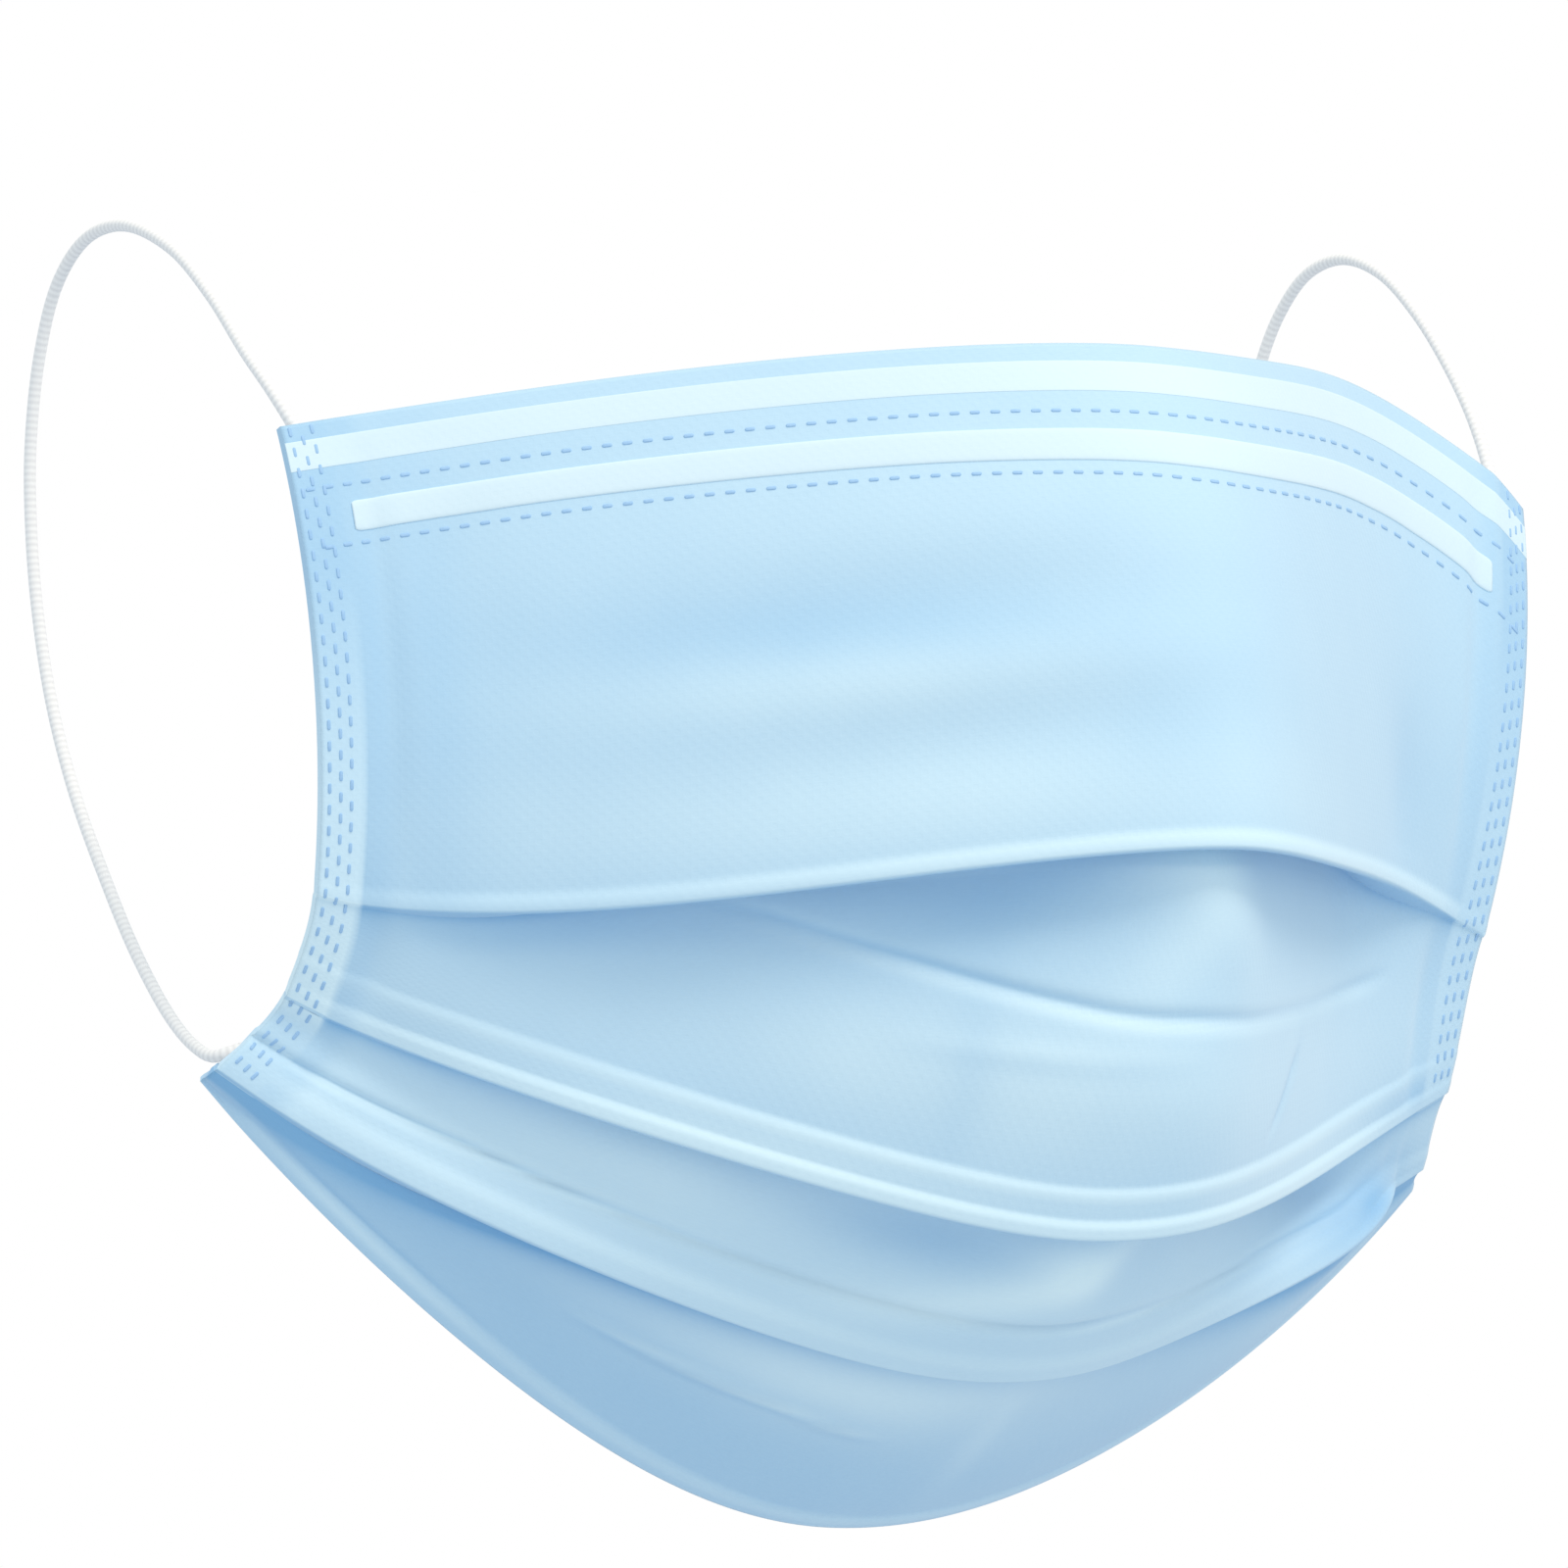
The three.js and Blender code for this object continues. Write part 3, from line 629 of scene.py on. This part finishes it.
def cloth_rows(u):
    """Rows of points on the middle of the cloth, from the top edge down, at the places u across."""
    top = line_point(LINES[0], u)
    inward = unit(np.cross(unit(line_point(LINES[1], u) - top), line_direction(LINES[0], u)))
    start, heading_in = top - inward * PLY / 2, None
    rows = []
    for k in range(len(PANELS)):
        panel, end, last, normal = panel_rows(k, u, start, heading_in)
        rows += panel
        if k < len(PLEATS):
            pleat, start, heading_in = pleat_rows(k, u, end, last, normal, rows[-1]["shade"])
            rows += pleat
    return rows


# Columns stand closer together towards the side welds, which have columns of their own
inside = WELD_AT * (1 - (1 - np.linspace(0, 1, COLUMNS)) ** COLUMN_CROWDING)
on_weld = np.linspace(WELD_AT, 1, WELD_COLUMNS + 1)[1:]
places = np.concatenate([-on_weld[::-1], -inside[:0:-1], inside, on_weld])
rows = cloth_rows(places)
middle = np.stack([row["p"] for row in rows])
panels_down = np.array([row["down"] for row in rows])
n_rows, n_columns = middle.shape[:2]


def grid_normals(grid):
    """Directions out of the cloth at each point of its grid."""
    down = np.gradient(grid, axis=0)
    across = np.gradient(grid, axis=1)
    return unit(np.cross(down, across))


def arc_along(grid, axis):
    """Distances over the cloth from the first row or column of its grid."""
    steps = np.linalg.norm(np.diff(grid, axis=axis), axis=2)
    zero = np.zeros_like(np.take(steps, [0], axis=axis))
    return np.cumsum(np.concatenate([zero, steps], axis=axis), axis=axis)


normals = grid_normals(middle)
from_left = arc_along(middle, 1)
from_side = np.minimum(from_left, from_left[:, -1:] - from_left)
from_top = arc_along(middle, 0)
from_bottom = from_top[-1:] - from_top
outer = middle + normals * PLY / 2 + CORNERS_TO_ORIGIN

# The cloth is thicker where it is doubled, along the sides and the bottom
thickness = np.maximum(
    mix(PLY, SIDE_PLY, within(SIDE_BAND, from_side, SIDE_SOFT)),
    mix(PLY, HEM_PLY, within(HEM_BAND, from_bottom, HEM_SOFT)),
)
inner = outer - normals * thickness[..., None]


def closed_sheet(outside, inside):
    """A thin closed sheet, with its outside at full detail and its inside at every other point.

    Gives its points, its faces, which side each face is on, and how many faces close its edges.
    """
    n, m = outside.shape[:2]
    half = inside[::2, ::2]
    half_n, half_m = half.shape[:2]
    points = np.vstack([outside.reshape(-1, 3), half.reshape(-1, 3)])

    def out(i, j):
        return i * m + j

    def back(i, j):
        return n * m + i * half_m + j

    outer_faces = [
        (out(i, j), out(i + 1, j), out(i + 1, j + 1), out(i, j + 1))
        for i in range(n - 1) for j in range(m - 1)
    ]
    inner_faces = [
        (back(i, j), back(i, j + 1), back(i + 1, j + 1), back(i + 1, j))
        for i in range(half_n - 1) for j in range(half_m - 1)
    ]
    edges = []
    low, low_back, right, right_back = n - 1, half_n - 1, m - 1, half_m - 1
    for j in range(half_m - 1):
        a, b, c = 2 * j, 2 * j + 1, 2 * j + 2
        edges.append((out(0, a), out(0, b), out(0, c), back(0, j + 1), back(0, j)))
        edges.append((out(low, c), out(low, b), out(low, a), back(low_back, j), back(low_back, j + 1)))
    for i in range(half_n - 1):
        a, b, c = 2 * i, 2 * i + 1, 2 * i + 2
        edges.append((out(c, 0), out(b, 0), out(a, 0), back(i, 0), back(i + 1, 0)))
        edges.append((
            out(a, right), out(b, right), out(c, right), back(i + 1, right_back), back(i, right_back),
        ))
    which = [0] * len(outer_faces) + [1] * len(inner_faces) + [0] * len(edges)
    return points, outer_faces + inner_faces + edges, which, len(edges)


# Nonwoven: random fibre pressed together at fine staggered points, blue outside, white inside
BOND_PITCH = 0.0009  # in metres, as the patterns of a material are
BOND_EDGE = (0.18, 0.42)
FIBRE_SCALE = 900.0
STRANDS = ((28, 9.0), (-34, 11.0))
FIBRE_TONE = 0.08
CLOUD_TONE = 0.08
MEAN_TONE = 0.12
FIBRE_RELIEF = 0.35


def nonwoven(name, shade, light, dent):
    """Fibre cloth between two colours, picked by the painted light and shade of each place and its
    fibre.
    """
    material, nodes, links, shader = new_material(name, light, 0.8)
    shader.inputs["Sheen Weight"].default_value = 0.25
    shader.inputs["Sheen Roughness"].default_value = 0.5
    coordinates = nodes.new("ShaderNodeTexCoord")
    turned = nodes.new("ShaderNodeMapping")
    turned.inputs["Rotation"].default_value = (0.0, 0.0, math.radians(45))
    turned.inputs["Scale"].default_value = (1 / BOND_PITCH, 1 / BOND_PITCH, 1.0)
    links.new(coordinates.outputs["UV"], turned.inputs["Vector"])
    bonds = nodes.new("ShaderNodeTexVoronoi")
    bonds.voronoi_dimensions = "2D"
    bonds.inputs["Scale"].default_value = 1.0
    bonds.inputs["Randomness"].default_value = 0.0
    links.new(turned.outputs["Vector"], bonds.inputs["Vector"])
    point = nodes.new("ShaderNodeMapRange")
    point.interpolation_type = "SMOOTHSTEP"
    point.inputs["From Min"].default_value = BOND_EDGE[0]
    point.inputs["From Max"].default_value = BOND_EDGE[1]
    links.new(bonds.outputs["Distance"], point.inputs["Value"])
    strands = []
    for angle, stretch in STRANDS:
        laid = nodes.new("ShaderNodeMapping")
        laid.inputs["Rotation"].default_value = (0.0, 0.0, math.radians(angle))
        laid.inputs["Scale"].default_value = (FIBRE_SCALE, FIBRE_SCALE * stretch, 1.0)
        links.new(coordinates.outputs["UV"], laid.inputs["Vector"])
        strand = nodes.new("ShaderNodeTexNoise")
        strand.noise_dimensions = "2D"
        strand.inputs["Scale"].default_value = 1.0
        strand.inputs["Detail"].default_value = 4.0
        links.new(laid.outputs["Vector"], strand.inputs["Vector"])
        strands.append(strand)
    fibre = nodes.new("ShaderNodeMath")
    fibre.operation = "ADD"
    links.new(strands[0].outputs["Fac"], fibre.inputs[0])
    links.new(strands[1].outputs["Fac"], fibre.inputs[1])
    cloudy = nodes.new("ShaderNodeTexNoise")
    cloudy.inputs["Scale"].default_value = 120.0
    cloudy.inputs["Detail"].default_value = 3.0
    links.new(coordinates.outputs["Object"], cloudy.inputs["Vector"])
    # The painted light and shade of the cloth, as a tone laid on its mesh
    painted_tone = nodes.new("ShaderNodeAttribute")
    painted_tone.attribute_name = "painted_tone"
    uneven = nodes.new("ShaderNodeMath")
    uneven.operation = "MULTIPLY_ADD"
    uneven.inputs[1].default_value = FIBRE_TONE
    links.new(fibre.outputs["Value"], uneven.inputs[0])
    links.new(painted_tone.outputs["Fac"], uneven.inputs[2])
    mottled = nodes.new("ShaderNodeMath")
    mottled.operation = "MULTIPLY_ADD"
    mottled.inputs[1].default_value = CLOUD_TONE
    links.new(cloudy.outputs["Fac"], mottled.inputs[0])
    links.new(uneven.outputs["Value"], mottled.inputs[2])
    centred = nodes.new("ShaderNodeMath")
    centred.operation = "SUBTRACT"
    centred.inputs[1].default_value = MEAN_TONE
    links.new(mottled.outputs["Value"], centred.inputs[0])
    # The first colour is the painted shade, the second the painted light; the tone may run past both
    tint = two_tone(nodes, links, shader, centred.outputs["Value"], shade, light)
    tint.clamp_factor = False
    relief = nodes.new("ShaderNodeMath")
    relief.operation = "MULTIPLY_ADD"
    relief.inputs[1].default_value = FIBRE_RELIEF
    links.new(fibre.outputs["Value"], relief.inputs[0])
    links.new(point.outputs["Result"], relief.inputs[2])
    fine_relief(nodes, links, shader, relief.outputs["Value"], 0.2, dent)
    return material


# Each cloth's deeper colour is its painted shade and its paler colour its painted light
blue_cloth = nonwoven("blue_nonwoven", linear(150, 196, 231), linear(216, 242, 253), 0.00004)
white_cloth = nonwoven("white_nonwoven", linear(222, 228, 234), linear(246, 248, 250), 0.00004)

# Painted tone: 0.5 is the cloth's own colour, plus the painted light and shade of each row
painted_tone = 0.5 + np.stack([row["shade"] for row in rows])
on_right = from_left > from_left[:, -1:] / 2
down = np.clip(panels_down, 0, 4)[:, None]
welded = down < np.where(on_right, WELD_END_RIGHT, WELD_END_LEFT)
# Painted light and shade on the welded side bands, and a painted shadow beside each band
on_band = within(SIDE_BAND, from_side, BAND_SOFT) * welded
beside = within(BESIDE_BAND, from_side, BESIDE_BAND_SOFT) * (1 - on_band) * welded
beside = beside * np.where(on_right, BESIDE_BAND_RIGHT, 1.0)
band_at, shade_left, shade_right = np.array(BAND_PAINTED_LIGHT_AND_SHADE).T
band_left, band_right = np.interp(down, band_at, shade_left), np.interp(down, band_at, shade_right)
painted_tone = mix(painted_tone, 0.5 + np.where(on_right, band_right, band_left), on_band)
painted_tone = np.clip(painted_tone + BESIDE_BAND_PAINTED_SHADOW * beside, DEEPEST, PALEST)

points, faces, which, edges = closed_sheet(outer, inner)
cloth = mesh_object("pleated_cloth", points, faces, [blue_cloth, white_cloth], which)
cloth.data.polygons.foreach_set("use_smooth", np.arange(len(faces)) < len(faces) - edges)


def both_sides(values):
    """Values of the whole grid, then those of every other point for the inner side."""
    return np.concatenate([values.reshape(-1), values[::2, ::2].reshape(-1)])


def dress(piece, across, down, painted_tones):
    """Lays the cloth's own coordinates, in metres, and its painted tone of light and shade over a piece.
    """
    mesh = piece.data
    corner = np.empty(len(mesh.loops), dtype=np.int32)
    mesh.loops.foreach_get("vertex_index", corner)
    cut = mesh.uv_layers.new(name="cut")
    flat = np.stack([across[corner], down[corner]], axis=1) * MM
    cut.data.foreach_set("uv", flat.astype(np.float32).ravel())
    layer = mesh.attributes.new("painted_tone", "FLOAT", "POINT")
    layer.data.foreach_set("value", painted_tones.astype(np.float32))


laid_across = np.broadcast_to(places * FLAT_WIDTH / 2, (n_rows, n_columns))
laid_down = np.broadcast_to(from_top.mean(axis=1, keepdims=True), (n_rows, n_columns))
dress(cloth, both_sides(laid_across), both_sides(laid_down), both_sides(painted_tone))
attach(cloth, "root")
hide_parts("pleated_panel")


# Pale strips on the upper part
# The upper strip is the folded hem of the outer ply, and the lower one is the sleeve that holds
# the nose wire. Both lie on the cloth and are paler because the ply is doubled there.
HEM_STRIP = dict(begin=1.7, end=4.55, height=0.03, reach=0.9995)
WIRE_STRIP = dict(begin=8.05, end=10.95, height=0.16, reach=0.93)
STRIP_FOOT = 0.06  # how deep their lower side lies in the cloth
STRIP_PROUD = 0.02
STRIP_END_ROUND = 0.5
STRIP_END_PLACES = np.array([0.0, 0.0015, 0.004, 0.008])
STRIP_END_GAP = 0.010

# A strip from its upper to its lower edge: places across it, and the share of its height there
STRIP_LANES = np.array([-1.0, -0.985, -0.93, -0.8, -0.55, -0.2, 0.2, 0.55, 0.8, 0.93, 0.985, 1.0])
STRIP_LIFT = np.array([0.0, 0.45, 0.8, 0.95, 1.0, 1.0, 1.0, 1.0, 0.95, 0.8, 0.45, 0.0])

# How much further from the top edge the strips and rows of dashes stand at places across
SPREAD = [
    (-1.0, 1.0), (-0.83, 1.0), (-0.55, 1.052), (-0.30, 1.10), (-0.12, 1.153), (0.0, 1.195),
    (0.1, 1.21), (0.3, 1.215), (0.45, 1.23), (0.60, 1.25), (0.75, 1.24), (0.87, 1.20), (1.0, 1.17),
]
top_rows = np.flatnonzero(panels_down <= 1)
outer_top = arc_along(outer[top_rows], 0)


def on_cloth(across, below):
    """Points and normals of the outer face at places across and distances below the top edge."""
    spread_at, spread_by = np.array(SPREAD).T
    below = below * np.interp(across, spread_at, spread_by)
    column = np.interp(across, places, np.arange(n_columns))
    low = np.clip(np.floor(column).astype(int), 0, n_columns - 2)
    part = column - low
    point, normal = np.zeros((len(across), 3)), np.zeros((len(across), 3))
    for side, weight in ((0, 1 - part), (1, part)):
        for i, (c, w) in enumerate(zip(low + side, weight)):
            for k in range(3):
                point[i, k] += w * np.interp(below[i], outer_top[:, c], outer[top_rows, c, k])
                normal[i, k] += w * np.interp(below[i], outer_top[:, c], normals[top_rows, c, k])
    return point, unit(normal)


def strip(name, size, node, material, crown, square):
    """A thin strip on the cloth between two distances from the top edge, with soft edges."""
    reach = size["reach"]
    near_end = reach - STRIP_END_PLACES
    across = places[np.abs(places) < reach - STRIP_END_GAP]
    across = np.concatenate([-near_end, across, near_end[::-1]])
    centre = (size["begin"] + size["end"]) / 2
    half = (size["end"] - size["begin"]) / 2
    lift = STRIP_LIFT * (1 - crown) + crown * np.sqrt(np.maximum(1 - STRIP_LANES**2, 0))
    to_end = (reach - np.abs(across)) * HALF_SPAN
    narrow = 1 - (1 - square) * np.clip(1 - to_end / STRIP_END_ROUND, 0, 1) ** 2
    upper, lower = [], []
    for lane, up in zip(STRIP_LANES, lift):
        point, normal = on_cloth(across, centre + lane * half * narrow)
        upper.append(point + normal * (STRIP_PROUD + size["height"] * up * narrow)[:, None])
        lower.append(point - normal * STRIP_FOOT)
    upper, lower = np.array(upper), np.array(lower)
    n, m = upper.shape[:2]
    points = np.vstack([upper.reshape(-1, 3), lower.reshape(-1, 3)])
    faces = []
    for i in range(n - 1):
        for j in range(m - 1):
            a, b, c, d = i * m + j, (i + 1) * m + j, (i + 1) * m + j + 1, i * m + j + 1
            faces += [(a, b, c, d), (a + n * m, d + n * m, c + n * m, b + n * m)]
    for j in range(m - 1):
        faces.append((j, j + 1, j + 1 + n * m, j + n * m))
        a = (n - 1) * m + j
        faces.append((a + 1, a, a + n * m, a + 1 + n * m))
    for i in range(n - 1):
        a, b = i * m, (i + 1) * m
        faces.append((b, a, a + n * m, b + n * m))
        faces.append((a + m - 1, b + m - 1, b + m - 1 + n * m, a + m - 1 + n * m))
    piece = mesh_object(name, points, faces, [material])
    width = np.tile(across * FLAT_WIDTH / 2, 2 * n)
    down = np.tile(np.repeat(centre + STRIP_LANES * half, m), 2)
    dress(piece, width, down, np.full(len(points), 0.5))
    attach(piece, "root")
    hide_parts(node)
    return piece


pale_cloth = nonwoven("pale_nonwoven", linear(196, 226, 242), linear(230, 246, 253), 0.00003)
hem_strip = strip("folded_hem_strip", HEM_STRIP, "top_hem_band", pale_cloth, 0.0, 1.0)
wire_strip = strip("nose_wire_sleeve", WIRE_STRIP, "nose_wire", pale_cloth, 0.3, 0.86)


# Weld marks
# Short dashes where an ultrasonic wheel has pressed the plies together: two rows along the top
# and three down each side, the middle one staggered. They show on both faces of the cloth.
DASH_LONG = 0.95
DASH_WIDE = 0.34
DASH_PROUD = 0.09
DASH_POINTS = 14
TOP_PITCH = 1.93
SIDE_PITCH = 1.98
TOP_START = 1.2
SIDE_START = 0.7
ROW_END_GAP = 0.6
ROW_NEAR_TOP = 10

# Rows: distance from the edge, and how far along it starts as a share of the pitch
TOP_ROWS = [(6.4, 0.0), (12.05, 0.5)]
SIDE_ROWS = [(0.85, 0.0), (2.0, 0.5), (3.1, 0.0)]

# Places along a row, as shares of its length, and how much its dashes are drawn out there
TOP_STRETCH = [
    (0.0, 1.0), (0.46, 1.0), (0.52, 1.35), (0.58, 1.9), (0.66, 2.3), (0.80, 2.3), (0.88, 1.7),
    (0.95, 1.3), (1.0, 1.2),
]
SIDE_STRETCH = [(0.0, 1.0), (1.0, 1.0)]

# A dash from its foot to its top: size of each ring of points and its height above the cloth
DASH_RINGS = [(1.0, -0.05), (0.94, DASH_PROUD * 0.7), (0.6, DASH_PROUD)]

weld_colour, nodes, links, shader = new_material("pressed_weld", linear(160, 200, 238), 0.6)
coordinates = nodes.new("ShaderNodeTexCoord")
grain = nodes.new("ShaderNodeTexNoise")
grain.inputs["Scale"].default_value = 2400.0
links.new(coordinates.outputs["Object"], grain.inputs["Vector"])
two_tone(nodes, links, shader, grain.outputs["Fac"], linear(150, 192, 232), linear(172, 208, 240))
fine_relief(nodes, links, shader, grain.outputs["Fac"], 0.3, 0.00003)


def dashes_along(line, facing, pitch, shift, begin, stretch):
    """Points and faces of dashes along a line on the cloth, some of them drawn out longer."""
    along = np.concatenate([[0], np.cumsum(np.linalg.norm(np.diff(line, axis=0), axis=1))])
    share, factor = np.array(stretch).T

    def drawn_out(distance):
        return float(np.interp(distance / along[-1], share, factor))

    centres = [begin + shift * pitch]
    while centres[-1] + pitch * drawn_out(centres[-1]) < along[-1] - ROW_END_GAP:
        centres.append(centres[-1] + pitch * drawn_out(centres[-1]))
    angles = np.linspace(0, 2 * math.pi, DASH_POINTS, endpoint=False)
    points, faces = [], []
    for centre in centres:
        base = len(points)

        def at(distance):
            return np.array([np.interp(distance, along, line[:, k]) for k in range(3)])

        def facing_at(distance):
            return unit(np.array([np.interp(distance, along, facing[:, k]) for k in range(3)]))

        middle_normal = facing_at(centre)
        ahead = unit(at(centre + 0.3) - at(centre - 0.3))
        aside = unit(np.cross(middle_normal, ahead))
        straight = (DASH_LONG * drawn_out(centre) - DASH_WIDE) / 2
        for ring, proud in DASH_RINGS:
            for angle in angles:
                x = math.cos(angle) * DASH_WIDE / 2 * ring
                x += math.copysign(straight, x) if abs(x) > 1e-9 else 0.0
                y = math.sin(angle) * DASH_WIDE / 2 * ring
                points.append(at(centre + x) + aside * y + facing_at(centre + x) * proud)
        points.append(at(centre) + middle_normal * DASH_PROUD)
        n = DASH_POINTS
        for j in range(n):
            k = (j + 1) % n
            for ring in range(2):
                a = base + ring * n
                faces.append((a + j, a + k, a + n + k, a + n + j))
            faces.append((base + 2 * n + j, base + 2 * n + k, base + 3 * n))
    return points, faces


def weld_piece(name, lines):
    """One piece of all the dashes along several lines, with a floor under each dash."""
    points, faces = [], []
    for line in lines:
        more, its_faces = dashes_along(*line)
        faces += [tuple(i + len(points) for i in f) for f in its_faces]
        for start in range(0, len(more), len(DASH_RINGS) * DASH_POINTS + 1):
            faces.append(tuple(start + len(points) + j for j in reversed(range(DASH_POINTS))))
        points += more
    piece = mesh_object(name, points, faces, [weld_colour])
    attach(piece, "root")
    return piece


def line_down(distance, side, face):
    """A line down the cloth at a distance from its left or right edge, on one face."""
    grid = outer if face > 0 else inner
    reach = from_left if side < 0 else from_left[:, -1:] - from_left
    line, facing = [], []
    weld_end = WELD_END_LEFT if side < 0 else WELD_END_RIGHT
    for r in range(n_rows):
        if panels_down[r] > weld_end:
            break
        order = np.argsort(reach[r])
        line.append([np.interp(distance, reach[r][order], grid[r, order, k]) for k in range(3)])
        facing.append([np.interp(distance, reach[r][order], normals[r, order, k]) for k in range(3)])
    return np.array(line), unit(np.array(facing)) * face


def line_across(distance, face):
    """A line across the cloth at a distance below the top edge, on one face."""
    across = places[1:-1]
    line, facing = on_cloth(across, np.full(len(across), distance))
    if face < 0:
        line = line - facing * thickness[ROW_NEAR_TOP, 1:-1, None]
    return line, facing * face


top_lines = []
for distance, shift in TOP_ROWS:
    for face in (1, -1):
        line, facing = line_across(distance, face)
        top_lines.append((line, facing, TOP_PITCH, shift, TOP_START, TOP_STRETCH))
weld_marks = [weld_piece("weld_marks_top", top_lines)]
for name, side in (("weld_marks_left", -1), ("weld_marks_right", 1)):
    side_lines = []
    for distance, shift in SIDE_ROWS:
        for face in (1, -1):
            line, facing = line_down(distance, side, face)
            side_lines.append((line, facing, SIDE_PITCH, shift, SIDE_START, SIDE_STRETCH))
    weld_marks.append(weld_piece(name, side_lines))


# Studio
# A plain pale floor well below the mask, a white surround and soft light from above the front.
FLOOR_HEIGHT = -320.0
FLOOR_HALF = 6000.0
floor_paint, nodes, links, shader = new_material("pale_floor", linear(207, 213, 222), 0.9)
grain = nodes.new("ShaderNodeTexNoise")
grain.inputs["Scale"].default_value = 6.0
two_tone(nodes, links, shader, grain.outputs["Fac"], linear(204, 210, 219), linear(210, 216, 225))
corners = [
    (x * FLOOR_HALF, y * FLOOR_HALF, FLOOR_HEIGHT) for x, y in ((-1, -1), (1, -1), (1, 1), (-1, 1))
]
floor = mesh_object("floor", corners, [(0, 1, 2, 3)], [floor_paint], smooth=False)

world = bpy.data.worlds.new("white_surround")
bpy.context.scene.world = world
world.use_nodes = True
sky = world.node_tree
surround = sky.nodes["Background"]
surround.inputs["Color"].default_value = (0.91, 0.965, 0.99, 1.0)
surround.inputs["Strength"].default_value = 0.92
paper = sky.nodes.new("ShaderNodeBackground")
paper.inputs["Color"].default_value = (1.0, 1.0, 1.0, 1.0)
paper.inputs["Strength"].default_value = 1.0
ray = sky.nodes.new("ShaderNodeLightPath")
choose = sky.nodes.new("ShaderNodeMixShader")
sky.links.new(ray.outputs["Is Camera Ray"], choose.inputs["Fac"])
sky.links.new(surround.outputs["Background"], choose.inputs[1])
sky.links.new(paper.outputs["Background"], choose.inputs[2])
sky.links.new(choose.outputs["Shader"], sky.nodes["World Output"].inputs["Surface"])

# One soft box: where it stands, as azimuth, elevation and distance from the mask, and its light
MASK_CENTRE = Vector((0.0, 0.02, -0.045))
BOX_AZIMUTH = 2.0
BOX_ELEVATION = 52.0
BOX_DISTANCE = 1.2
lamp = bpy.data.lights.new("key_box", "AREA")
lamp.shape = "SQUARE"
lamp.size = 0.45
lamp.energy = 7.2
lamp.color = (1.0, 0.85, 0.70)
box = bpy.data.objects.new("key_box", lamp)
turn, rise = math.radians(BOX_AZIMUTH), math.radians(BOX_ELEVATION)
away = Vector((math.sin(turn) * math.cos(rise), -math.cos(turn) * math.cos(rise), math.sin(rise)))
box.location = MASK_CENTRE + away * BOX_DISTANCE
box.rotation_mode = "QUATERNION"
box.rotation_quaternion = (-away).to_track_quat("-Z", "Y")
bpy.context.scene.collection.objects.link(box)

bpy.context.scene.view_settings.view_transform = "Standard"
